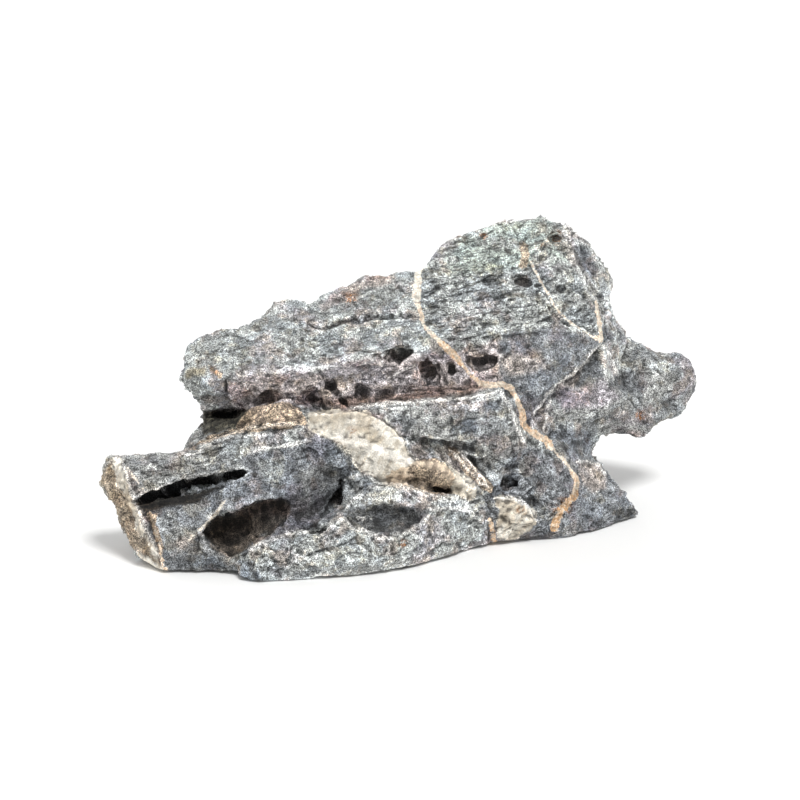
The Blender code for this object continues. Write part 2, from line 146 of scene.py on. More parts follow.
def closeBy(across, down, corners, margin=12.0):
    # which points lie near a drawn shape, so that the rest are left out of the sums
    xs, ys = zip(*corners)
    near = (across > min(xs) - margin) & (across < max(xs) + margin)
    near &= (down > min(ys) - margin) & (down < max(ys) + margin)
    return np.flatnonzero(near)


def readPoints(mesh):
    points = np.empty(len(mesh.vertices) * 3)
    mesh.vertices.foreach_get("co", points)
    normals = np.empty(len(mesh.vertices) * 3)
    mesh.vertices.foreach_get("normal", normals)
    return points.reshape(-1, 3), normals.reshape(-1, 3)


def writePoints(mesh, points):
    mesh.vertices.foreach_set("co", points.ravel())
    mesh.update()


def applied(obj, kind, **settings):
    # adds a modifier and applies it, as from the menu
    bpy.ops.object.select_all(action="DESELECT")
    bpy.context.view_layer.objects.active = obj
    obj.select_set(True)
    modifier = obj.modifiers.new(kind.lower(), kind)
    for name, value in settings.items():
        setattr(modifier, name, value)
    bpy.ops.object.modifier_apply(modifier=modifier.name)


def spread(mesh, values, rounds):
    # evens values out over the surface, neighbour by neighbour
    edges = np.empty(len(mesh.edges) * 2, int)
    mesh.edges.foreach_get("vertices", edges)
    a, b = edges.reshape(-1, 2).T
    count = np.bincount(a, minlength=len(values)) + np.bincount(b, minlength=len(values))
    for _ in range(rounds):
        total = np.bincount(a, values[b], len(values)) + np.bincount(b, values[a], len(values))
        values = 0.5 * values + 0.5 * total / np.maximum(count, 1)
    return values


def seenShare(points, normals):
    # seen is 1 where the eye sees the surface and 0 where it is turned away or hidden. reached is
    # the same for how far it lies behind what the eye sees there, and takes in the walls of
    # hollows and cracks. The picture is cut into cells, each with the nearest point in it.
    across, down, near = toPicture(points)
    cell = 3.0
    column = (across / cell).astype(int)
    row = (down / cell).astype(int)
    width = int(view["picture"] / cell) + 2
    place = np.clip(row, 0, width - 1) * width + np.clip(column, 0, width - 1)
    front = np.full(width * width, -np.inf)
    np.maximum.at(front, place, near)
    behind = near - front[place]                 # millimetres, from 0 down
    seen = smooth(behind, -8.0, -3.5) * smooth(normals @ toward, -0.05, 0.2)
    return seen, smooth(behind, -16.0, -9.0)


# Tones of the weathered limestone: the paler upward faces, the plain grey rock, the darker fresh breaks,
# and the stains that iron and clay leave. Of these, the dark grey is painted shade in hollows and under
# ledges, the two shadow tones are painted shadow under the overhang of the upper block and in the slit
# under the long crack, and the cave's brown is painted shade inside the cave.
tones = {
    "chalk": "#c4c9ca", "pale": "#babcba", "green": "#adb5ae", "cream": "#bcb7aa",
    "light": "#a6a9a7", "warm": "#a49c96", "olive": "#aaa28e", "clay": "#978977",
    "grey": "#949593", "lilac": "#a39fa3", "slate": "#808386", "blue": "#74797e",
    "umber": "#bab1af", "rose": "#84736b", "dark": "#6d6e6e", "earth": "#73695f",
    "mud": "#48453b", "soot": "#2d2a25",
}

# The show side's faces, drawn in the picture, later ones over earlier ones: corners, colour,
# softness of the edge in picture units, and how craggy, how layered and how fluted they are.
faces = {
    "brightFace": ([(183, 357), (200, 336), (250, 325), (292, 300), (346, 285), (413, 271), (440, 249),
        (480, 228), (541, 217), (572, 226), (570, 245), (596, 296), (600, 338), (550, 328), (500, 335),
        (445, 352), (385, 350), (320, 369), (228, 376), (190, 372)], "light", 5, 0.35, 0.35, 0.0),
    "brightRight": ([(425, 272), (470, 262), (540, 270), (590, 300), (600, 338), (550, 328), (500, 333),
        (448, 346), (424, 322)], "light", 8, 0.4, 1.0, 0.0),
    "topGreen": ([(440, 250), (480, 228), (541, 218), (566, 222), (570, 262), (520, 268),
        (450, 276)], "green", 8, 0.4, 0.6, 0.0),
    "hump": ([(262, 318), (280, 302), (305, 300), (312, 312), (300, 325),
        (270, 328)], "light", 6, 0.3, 0.1, 0.0),
    "rustEdge": ([(318, 306), (345, 286), (372, 274), (395, 274), (392, 284), (362, 290), (335, 304),
        (322, 312)], "warm", 4, 0.6, 0.5, 0.0),
    "crest": ([(228, 376), (250, 369), (320, 364), (350, 357), (390, 354), (392, 364), (350, 370),
        (320, 378), (280, 384), (244, 392), (230, 392)], "pale", 9, 0.4, 0.2, 0.2),
    "recess": ([(228, 384), (250, 379), (320, 372), (385, 354), (445, 356), (500, 338), (502, 384),
        (440, 392), (350, 404), (248, 410), (200, 412), (205, 395)], "umber", 6, 0.5, 0.0, 1.0),
    "recessFloor": ([(300, 402), (345, 409), (400, 402), (440, 397), (486, 390), (484, 382), (440, 387),
        (400, 391), (350, 396)], "rose", 6, 0.7, 0.0, 0.4),
    "recessLilac": ([(318, 371), (350, 366), (378, 356), (386, 366), (384, 384), (366, 384), (350, 380),
        (336, 384)], "lilac", 6, 0.4, 0.0, 0.8),
    "recessRight": ([(392, 366), (418, 364), (424, 388), (404, 394),
        (386, 392)], "umber", 5, 0.9, 0.0, 0.3),
    "knob": ([(184, 372), (226, 378), (228, 396), (240, 408), (204, 414),
        (192, 392)], "light", 4, 0.5, 0.0, 0.2),
    "knobPale": ([(205, 372), (222, 376), (223, 388), (210, 390), (202, 382)], "chalk", 4, 0.3, 0.0, 0.0),
    "knobOlive": ([(186, 368), (206, 368), (206, 376), (187, 378)], "olive", 3, 0.3, 0.0, 0.0),
    # painted shadow: the dark brown of the deep shade under the overhang of the upper block
    "underRecess": ([(204, 412), (248, 408), (252, 420), (232, 430), (208, 438),
        (200, 428)], "mud", 4, 0.6, 0.6, 0.0),
    "steepTop": ([(500, 334), (550, 328), (600, 338), (598, 348), (560, 356), (520, 352),
        (500, 346)], "slate", 4, 0.3, 0.0, 0.0),
    "steepGrey": ([(505, 350), (560, 352), (598, 348), (584, 366), (560, 382), (546, 398), (530, 418),
        (518, 396), (505, 384), (500, 362)], "slate", 5, 0.4, 0.0, 0.1),
    "steepWarm": ([(502, 356), (540, 352), (548, 368), (520, 376), (504, 372)], "warm", 7, 0.5, 0.0, 0.0),
    "shoulder": ([(601, 345), (612, 372), (632, 400), (652, 432), (600, 432), (560, 434), (546, 425),
        (554, 396), (572, 388)], "grey", 5, 0.3, 0.0, 0.1),
    "shoulderPink": ([(560, 390), (604, 380), (622, 396), (600, 408),
        (562, 408)], "lilac", 6, 0.3, 0.0, 0.0),
    "belowCleft": ([(600, 356), (604, 376), (590, 386), (572, 386),
        (580, 372)], "slate", 4, 0.3, 0.0, 0.0),
    "underShoulder": ([(545, 430), (562, 427), (592, 432), (592, 462), (574, 462),
        (556, 446)], "slate", 4, 0.5, 0.0, 0.0),
    "spineSide": ([(570, 236), (584, 240), (610, 275), (612, 300), (624, 330), (608, 326), (594, 290),
        (576, 256)], "pale", 3, 0.4, 0.2, 0.0),
    "spineDark": ([(572, 243), (584, 246), (598, 268), (592, 284),
        (580, 262)], "slate", 4, 0.4, 0.0, 0.0),
    "armTop": ([(628, 341), (650, 350), (684, 355), (699, 380), (690, 396), (652, 384), (632, 372),
        (622, 352)], "grey", 5, 0.3, 0.2, 0.0),
    "armPale": ([(646, 366), (662, 361), (682, 362), (676, 369), (654, 373)], "chalk", 3, 0.3, 0.0, 0.0),
    "armLow": ([(634, 374), (690, 396), (676, 412), (650, 434), (636, 420),
        (620, 392)], "grey", 5, 0.4, 0.0, 0.0),
    "armDark": ([(610, 376), (622, 370), (640, 376), (642, 392), (626, 392),
        (608, 386)], "dark", 4, 0.6, 0.0, 0.3),
    "cornerLight": ([(602, 342), (624, 340), (622, 362), (614, 378),
        (604, 376)], "pale", 3, 0.3, 0.0, 0.0),
    "seamLedges": ([(184, 452), (205, 436), (250, 424), (306, 424), (312, 432), (260, 438), (222, 446),
        (200, 460), (186, 458)], "grey", 4, 0.5, 1.2, 0.0),
    "slabTop": ([(120, 456), (180, 450), (210, 447), (236, 456), (245, 468), (190, 478), (146, 492),
        (128, 480)], "grey", 4, 0.4, 0.5, 0.0),
    "slabFace": ([(245, 468), (236, 450), (260, 436), (312, 434), (345, 445), (360, 470), (345, 478),
        (300, 470), (296, 498), (240, 506), (222, 512), (150, 512), (180, 494),
        (246, 474)], "slate", 6, 0.5, 0.0, 0.3),
    "slabBright": ([(240, 436), (310, 430), (312, 444), (290, 448), (250, 452), (236, 462),
        (226, 452)], "light", 5, 0.6, 0.3, 0.0),
    "slabBlue": ([(300, 440), (336, 438), (346, 450), (330, 466), (302, 466)], "blue", 5, 0.6, 0.0, 0.2),
    # painted shade: the near-black slit under the long crack
    "underCrack": ([(138, 502), (165, 495), (200, 491), (226, 484), (214, 492), (196, 503), (170, 510),
        (146, 514), (136, 508)], "soot", 3, 0.6, 0.8, 0.0),
    "slabLow": ([(152, 512), (212, 500), (206, 522), (200, 534), (182, 546), (164, 560),
        (156, 530)], "slate", 4, 0.3, 0.0, 0.0),
    "slabLilac": ([(157, 516), (174, 510), (181, 524), (196, 530), (185, 546), (168, 553),
        (160, 536)], "grey", 6, 0.3, 0.0, 0.0),
    "slabSheen": ([(258, 462), (272, 457), (286, 468), (279, 483),
        (262, 481)], "light", 8, 0.3, 0.0, 0.0),
    "slabShade": ([(184, 548), (206, 530), (226, 552), (234, 570), (190, 572), (166, 572),
        (164, 560)], "dark", 4, 0.4, 0.0, 0.0),
    "slabPatch": ([(194, 556), (216, 555), (228, 566), (204, 571), (192, 566)], "blue", 3, 0.3, 0.0, 0.0),
    "block": ([(350, 408), (400, 402), (498, 393), (514, 412), (524, 446), (508, 462), (470, 446),
        (417, 438), (398, 420)], "grey", 4, 0.6, 0.0, 0.2),
    "blockRim": ([(372, 404), (440, 399), (500, 390), (510, 404), (500, 409), (440, 408),
        (385, 411)], "pale", 3, 0.4, 0.6, 0.0),
    "blockRight": ([(498, 396), (512, 408), (524, 446), (516, 458), (504, 460),
        (500, 430)], "grey", 6, 0.4, 0.0, 0.0),
    "blockBlue": ([(482, 402), (500, 401), (500, 411), (486, 412)], "blue", 3, 0.4, 0.0, 0.0),
    "blockBlueB": ([(452, 426), (466, 419), (477, 419), (478, 430), (462, 436),
        (450, 434)], "blue", 3, 0.4, 0.0, 0.0),
    "cheek": ([(508, 462), (528, 444), (560, 460), (576, 480), (566, 500), (540, 512),
        (500, 494)], "slate", 5, 0.9, 0.0, 0.0),
    "cheekPale": ([(482, 468), (500, 464), (508, 470), (500, 482), (486, 480)], "pale", 3, 0.6, 0.0, 0.0),
    "toe": ([(576, 462), (604, 466), (640, 514), (620, 530), (560, 538), (556, 522),
        (572, 505)], "slate", 5, 0.4, 0.0, 0.0),
    "toeWarm": ([(576, 462), (600, 465), (608, 488), (592, 492), (580, 478)], "warm", 5, 0.3, 0.0, 0.0),
    "foot": ([(238, 560), (252, 551), (290, 533), (341, 520), (380, 538), (410, 530), (430, 508),
        (485, 512), (488, 545), (449, 559), (380, 575), (258, 584)], "light", 5, 1.2, 0.0, 0.4),
    "footRight": ([(430, 512), (484, 514), (487, 543), (450, 552),
        (420, 540)], "light", 6, 0.8, 0.0, 0.0),
    "footBand": ([(285, 570), (330, 566), (380, 562), (430, 555), (478, 544), (482, 549), (420, 567),
        (340, 578), (285, 582)], "pale", 4, 0.2, 0.2, 0.0),
    "footBlue": ([(238, 562), (252, 560), (262, 578), (252, 584), (238, 574)], "blue", 3, 0.4, 0.0, 0.0),
    # painted shade: the inside of the cave darkened to a brown
    "caveFloor": ([(204, 532), (216, 517), (236, 511), (255, 502), (283, 499), (291, 512), (272, 533),
        (250, 547), (230, 559), (215, 547)], "earth", 3, 0.5, 0.0, 0.0),
    # painted shade: the dark grey in this scoop
    "scoop": ([(298, 474), (322, 462), (345, 474), (344, 488), (334, 506), (318, 520), (292, 520),
        (286, 505)], "dark", 5, 0.3, 0.0, 0.2),
    "scoopSide": ([(345, 480), (362, 478), (366, 500), (350, 512), (338, 508)], "pale", 4, 0.7, 0.0, 0.0),
    "bossTop": ([(362, 492), (380, 486), (408, 486), (432, 494), (470, 498), (480, 512), (430, 506),
        (380, 503), (350, 508)], "pale", 3, 0.7, 0.3, 0.0),
    # painted shade in the hollow under the boss and beside it
    "bossHollow": ([(350, 512), (380, 506), (428, 505), (430, 513), (408, 530), (385, 537),
        (352, 528)], "dark", 3, 0.3, 0.0, 0.1),
    "bossShade": ([(340, 510), (362, 506), (356, 524), (344, 520)], "dark", 3, 0.6, 0.0, 0.0),
    "calciteTop": ([(308, 414), (345, 410), (384, 420), (404, 440), (414, 460), (444, 462), (478, 490),
        (452, 494), (405, 466), (352, 458), (330, 440)], "cream", 4, 0.15, 0.0, 0.0),
    "calciteLow": ([(352, 440), (400, 452), (410, 468), (408, 484), (384, 484), (362, 470),
        (350, 458)], "cream", 4, 0.12, 0.0, 0.0),
    "capFace": ([(110, 459), (100, 480), (112, 507), (131, 550), (165, 573), (158, 550), (137, 510),
        (128, 480)], "clay", 4, 0.25, 0.0, 0.0),
    "capTip": ([(130, 546), (144, 556), (160, 565), (167, 576), (150, 573),
        (136, 562)], "chalk", 3, 0.15, 0.0, 0.0),
    # painted shade under the knob
    "underKnob": ([(512, 538), (535, 533), (566, 532), (560, 541), (530, 543)], "dark", 3, 0.3, 0.0, 0.0),
}

# Hollows eaten or broken into the show side: corners, depth in mm, width of the shoulder in
# picture units, and how dark the painted shade inside them is.
hollows = {
    "oval": ([(381, 353), (390, 349), (413, 350), (413, 357), (406, 362), (400, 363),
        (391, 359)], 1.5, 5, 0.7),
    "drop": ([(421, 362), (428, 355), (437, 357), (443, 366), (448, 377), (450, 385), (444, 386),
        (438, 378), (434, 385), (427, 387), (421, 378)], 1.9, 6, 0.65),
    "round": ([(446, 363), (455, 363), (459, 371), (455, 377), (447, 375)], 1.6, 4, 0.55),
    "fluteMid": ([(352, 387), (358, 382), (368, 383), (373, 389), (370, 397), (360, 402),
        (353, 399)], 2.2, 6, 0.75),
    "fluteLeft": ([(306, 398), (312, 393), (320, 397), (328, 409), (324, 412), (312, 408)], 2.4, 5, 0.75),
    "fluteLeftTop": ([(302, 385), (312, 383), (319, 392), (313, 397), (304, 393)], 1.2, 6, 0.5),
    "fluteFar": ([(258, 398), (265, 389), (274, 393), (277, 403), (266, 405)], 1.8, 5, 0.55),
    "fluteFarTop": ([(268, 387), (280, 384), (283, 392), (276, 396), (269, 393)], 1.2, 5, 0.5),
    "fluteGrey": ([(244, 385), (258, 382), (265, 385), (262, 390), (248, 391)], 1.0, 5, 0.4),
    "fluteGreyLow": ([(240, 394), (252, 391), (257, 398), (248, 403), (239, 400)], 1.4, 5, 0.6),
    "fissure": ([(318, 370), (322, 370), (330, 380), (336, 389), (342, 394), (348, 402), (350, 407),
        (344, 406), (338, 399), (332, 391), (326, 381)], 3.0, 2.5, 0.9),
    "shade": ([(205, 416), (216, 413), (232, 412), (235, 408), (247, 409), (243, 415), (228, 418),
        (207, 418)], 2.0, 3, 1.0),
    "nose": ([(181, 356), (186, 357), (186, 362), (182, 361)], 0.8, 2, 0.8),
    "lipHollow": ([(444, 312), (449, 310), (452, 320), (448, 325), (444, 319)], 1.0, 4, 0.6),
    "lipMarks": ([(424, 305), (438, 303), (441, 309), (430, 311)], 0.7, 3, 0.45),
    "byVein": ([(446, 336), (458, 335), (463, 342), (456, 349), (447, 346)], 1.4, 4, 0.6),
    "slot": ([(464, 357), (500, 356), (501, 364), (496, 369), (486, 370), (479, 376),
        (470, 367)], 1.8, 6, 0.7),
    "slotLow": ([(483, 376), (500, 374), (499, 380), (488, 381)], 1.3, 4, 0.5),
    "slotUnder": ([(460, 381), (470, 379), (475, 385), (466, 388)], 1.0, 3, 0.45),
    "faceDashA": ([(268, 350), (281, 350), (280, 353), (270, 353)], 0.5, 2, 0.6),
    "faceSpotB": ([(284, 353), (290, 354), (289, 358), (286, 358)], 0.7, 2, 0.6),
    "faceSpotC": ([(309, 352), (312, 353), (315, 358), (312, 358)], 0.7, 2, 0.6),
    "faceDashD": ([(328, 351), (350, 350), (351, 353), (331, 354)], 0.5, 2, 0.55),
    "faceDashE": ([(352, 350), (378, 349), (384, 352), (370, 353), (353, 352)], 0.7, 2, 0.65),
    "faceDashF": ([(368, 355), (376, 353), (386, 359), (380, 361)], 0.8, 3, 0.5),
    "faceDashG": ([(392, 346), (412, 344), (413, 347), (396, 349)], 0.4, 2, 0.4),
    "dot": ([(455, 257), (461, 256), (463, 261), (457, 263)], 0.9, 2, 0.65),
    "topA": ([(480, 278), (490, 274), (505, 274), (502, 279), (490, 284), (481, 283)], 0.9, 4, 0.5),
    "topB": ([(509, 284), (515, 278), (521, 273), (531, 273), (538, 279), (533, 284), (525, 290),
        (515, 289)], 0.6, 6, 0.6),
    "topBlue": ([(505, 291), (516, 288), (518, 293), (508, 298)], 0.6, 3, 0.4),
    "topC": ([(549, 291), (556, 290), (562, 287), (566, 282), (573, 281), (574, 285), (566, 291),
        (560, 296), (551, 296)], 1.0, 4, 0.5),
    "topD": ([(562, 299), (572, 299), (576, 301), (574, 305), (564, 304)], 0.6, 3, 0.5),
    "topE": ([(530, 291), (539, 289), (541, 295), (531, 297)], 0.8, 3, 0.5),
    "bandA": ([(493, 304), (500, 300), (507, 302), (513, 305), (521, 307), (519, 310), (505, 308),
        (494, 307)], 1.2, 3, 0.65),
    "bandB": ([(516, 319), (525, 315), (535, 315), (533, 319), (520, 321)], 0.8, 3, 0.5),
    "bandC": ([(478, 294), (496, 290), (498, 293), (480, 298)], 0.5, 3, 0.35),
    "rustA": ([(537, 251), (540, 245), (547, 243), (548, 247), (543, 252)], 1.0, 3, 0.55),
    "rustB": ([(549, 241), (556, 234), (563, 231), (567, 236), (560, 242), (552, 244)], 0.9, 4, 0.25),
    "rustC": ([(561, 236), (567, 235), (568, 240), (563, 241)], 0.9, 2, 0.7),
    "underBand": ([(448, 340), (470, 336), (505, 334), (522, 332), (548, 329), (552, 334), (524, 339),
        (500, 342), (470, 346)], 0.9, 5, 0.45),
    "underBandB": ([(468, 346), (490, 344), (502, 348), (490, 353), (470, 352)], 0.9, 4, 0.35),
    "steepSpot": ([(521, 343), (531, 343), (530, 350), (523, 349)], 0.8, 3, 0.5),
    "steepOval": ([(526, 393), (531, 391), (535, 397), (534, 403), (527, 402)], 1.5, 4, 0.6),
    "steepBelow": ([(519, 385), (528, 386), (527, 393), (520, 392)], 0.7, 3, 0.4),
    "cleft": ([(601, 344), (603, 350), (598, 360), (589, 368), (580, 376), (570, 382), (560, 387),
        (551, 393), (546, 398), (549, 391), (560, 383), (570, 377), (580, 367),
        (590, 356)], 3.6, 4, 1.0),
    "cleftWide": ([(552, 392), (564, 387), (575, 388), (570, 396), (556, 400), (549, 399)], 0.8, 4, 0.5),
    "cleftLow": ([(532, 418), (538, 408), (548, 398), (547, 408), (542, 416), (534, 422)], 2.2, 4, 0.8),
    "spineNick": ([(604, 320), (609, 325), (608, 335), (604, 345), (602, 334)], 1.2, 2, 0.75),
    "armMarkA": ([(621, 372), (626, 370), (628, 388), (623, 390)], 0.8, 3, 0.5),
    "armMarkB": ([(630, 368), (634, 370), (638, 388), (633, 390)], 0.8, 3, 0.5),
    "armMarkC": ([(642, 357), (647, 358), (646, 368), (642, 368)], 0.7, 3, 0.5),
    "armFacet": ([(658, 402), (668, 400), (676, 404), (679, 411), (670, 415), (664, 412)], 0.8, 3, 0.65),
    "armOchre": ([(638, 408), (644, 412), (652, 420), (646, 420), (638, 414)], 0.6, 3, 0.4),
    "notchShade": ([(546, 434), (556, 429), (566, 428), (572, 436), (562, 441), (550, 440)], 1.0, 4, 0.6),
    "notchShadeB": ([(572, 440), (590, 438), (590, 448), (576, 450), (566, 446)], 0.6, 4, 0.45),
    "besideBlock": ([(524, 436), (534, 440), (536, 446), (527, 446)], 0.9, 3, 0.6),
    "besideBlockB": ([(531, 450), (541, 449), (540, 454), (533, 454)], 0.7, 2, 0.6),
    "longCrack": ([(130, 501), (150, 492), (165, 487), (176, 482), (190, 478), (205, 475), (220, 473),
        (232, 470), (243, 469), (249, 472), (241, 477), (228, 482), (215, 486), (205, 490), (195, 493),
        (180, 495), (165, 498), (150, 502), (140, 506), (132, 507)], 6.0, 2.5, 1.0),
    "ledgeA": ([(203, 437), (216, 431), (231, 427), (233, 431), (214, 439), (205, 441)], 1.4, 3, 0.6),
    "ledgeB": ([(198, 455), (206, 450), (216, 447), (227, 444), (226, 449), (214, 458),
        (205, 460)], 1.4, 3, 0.65),
    "ledgeC": ([(188, 463), (200, 461), (212, 457), (210, 462), (196, 467)], 0.8, 3, 0.4),
    "ledgeD": ([(228, 442), (238, 440), (246, 442), (236, 447)], 0.8, 3, 0.5),
    "capSide": ([(130, 497), (139, 503), (141, 515), (136, 512)], 1.0, 2, 0.85),
    "capFacet": ([(142, 514), (150, 512), (156, 522), (160, 540), (159, 551), (154, 550), (148, 536),
        (142, 525)], 1.6, 4, 0.7),
    "topSpotA": ([(149, 462), (158, 460), (160, 467), (152, 469)], 0.6, 3, 0.4),
    "topSpotB": ([(150, 478), (158, 477), (160, 483), (152, 484)], 0.5, 3, 0.4),
    "capBlue": ([(126, 481), (134, 478), (141, 491), (139, 498), (130, 498)], 0.6, 3, 0.5),
    "lowPit": ([(176, 536), (181, 535), (183, 541), (178, 543)], 0.8, 2, 0.6),
    "cave": ([(203, 532), (210, 523), (216, 517), (224, 511), (236, 511), (243, 507), (255, 502),
        (268, 499), (283, 499), (290, 504), (291, 512), (285, 520), (272, 533), (262, 540), (250, 547),
        (240, 556), (230, 559), (225, 551), (215, 547), (206, 541)], 4.0, 3, 0.65),
    "caveDeep": ([(204, 532), (212, 522), (225, 513), (246, 509), (264, 510), (262, 526), (247, 543),
        (232, 554), (222, 549), (208, 541)], 5.0, 10, 0.6),
    "caveWall": ([(242, 505), (258, 502), (263, 520), (258, 538), (246, 543), (238, 524)], 4.5, 9, 0.55),
    "footNotch": ([(229, 558), (238, 556), (247, 548), (249, 552), (240, 560), (231, 562)], 1.5, 2, 0.9),
    "footHollow": ([(303, 557), (312, 550), (331, 545), (328, 550), (312, 558)], 2.2, 3, 0.9),
    "footHollowB": ([(330, 548), (340, 542), (352, 540), (346, 545), (332, 549)], 1.8, 3, 0.8),
    "footDashA": ([(262, 559), (276, 557), (276, 561), (264, 563)], 0.8, 2, 0.7),
    "footSpotC": ([(283, 548), (292, 545), (296, 550), (286, 554)], 0.9, 3, 0.5),
    "footSpotD": ([(345, 552), (356, 549), (366, 552), (356, 558)], 0.8, 3, 0.5),
    "footSpotE": ([(382, 546), (394, 544), (398, 550), (386, 554)], 0.8, 3, 0.5),
    "footSpotF": ([(448, 544), (462, 543), (462, 548), (450, 550)], 0.9, 3, 0.6),
    "footSpotG": ([(320, 560), (334, 557), (336, 562), (322, 565)], 0.7, 3, 0.45),
    "footSpotH": ([(416, 545), (430, 541), (432, 547), (420, 551)], 0.6, 3, 0.4),
    "aboveFoot": ([(283, 529), (292, 526), (305, 521), (318, 522), (326, 528), (322, 536), (312, 535),
        (304, 529), (292, 533)], 2.8, 3, 1.0),
    "scoopEdge": ([(345, 481), (343, 492), (336, 504), (327, 514), (318, 520), (316, 516), (326, 506),
        (334, 496), (338, 484)], 2.0, 3, 1.0),
    "lumpSide": ([(322, 531), (334, 530), (342, 536), (332, 541), (322, 538)], 1.2, 3, 0.6),
    "sidePatch": ([(350, 480), (361, 479), (362, 494), (352, 497)], 1.0, 4, 0.5),
    "greyPatch": ([(408, 449), (418, 447), (425, 455), (416, 460), (409, 457)], 0.8, 3, 0.5),
    "bluePatch": ([(430, 446), (441, 445), (444, 454), (434, 455)], 0.6, 3, 0.4),
    "tanPit": ([(411, 478), (421, 479), (419, 485), (413, 484)], 0.9, 3, 0.5),
    "tanHollow": ([(427, 488), (440, 485), (452, 486), (451, 494), (438, 494), (429, 491)], 0.6, 5, 0.35),
    "underBlock": ([(417, 437), (430, 440), (443, 442), (455, 441), (466, 443), (476, 446), (489, 455),
        (480, 456), (470, 451), (455, 449), (447, 447), (436, 444), (424, 441)], 4.8, 3, 1.0),
    "splintA": ([(467, 453), (478, 461), (487, 470), (491, 481), (486, 480), (476, 468),
        (466, 458)], 2.4, 3, 0.8),
    "splintB": ([(450, 456), (458, 461), (466, 471), (474, 480), (468, 478), (458, 468),
        (450, 461)], 1.0, 3, 0.5),
    "knobGrooveA": ([(463, 490), (471, 493), (479, 505), (474, 506), (465, 497)], 1.2, 3, 0.65),
    "knobGrooveB": ([(484, 495), (490, 499), (495, 510), (496, 518), (490, 515),
        (486, 505)], 2.0, 3, 0.8),
    "layerGap": ([(497, 490), (505, 486), (512, 482), (520, 480), (518, 485), (508, 489),
        (499, 493)], 2.0, 3, 0.95),
    "cheekA": ([(500, 464), (512, 462), (516, 469), (506, 472)], 1.0, 3, 0.6),
    "cheekB": ([(510, 478), (524, 474), (528, 480), (514, 484)], 0.9, 3, 0.5),
    "cheekC": ([(534, 484), (545, 483), (546, 490), (536, 491)], 0.8, 3, 0.45),
    "cheekD": ([(520, 496), (534, 496), (542, 504), (530, 508)], 1.0, 3, 0.55),
    "cheekE": ([(556, 470), (566, 472), (570, 486), (562, 484)], 0.8, 4, 0.45),
    "knobPitA": ([(500, 515), (508, 516), (507, 523), (500, 522)], 0.9, 3, 0.5),
    "besideVein": ([(577, 478), (581, 486), (579, 496), (574, 506), (568, 516), (572, 504),
        (575, 492)], 1.2, 3, 0.7),
    "toeFacetA": ([(587, 528), (593, 521), (606, 520), (610, 526), (600, 532), (588, 532)], 0.8, 3, 0.85),
    "toeFacetB": ([(612, 524), (617, 510), (626, 507), (635, 509), (636, 516), (626, 528),
        (614, 530)], 0.9, 3, 0.85),
    "underKnobShade": ([(515, 540), (530, 536), (552, 536), (556, 540), (530, 543)], 0.5, 3, 0.6),
}

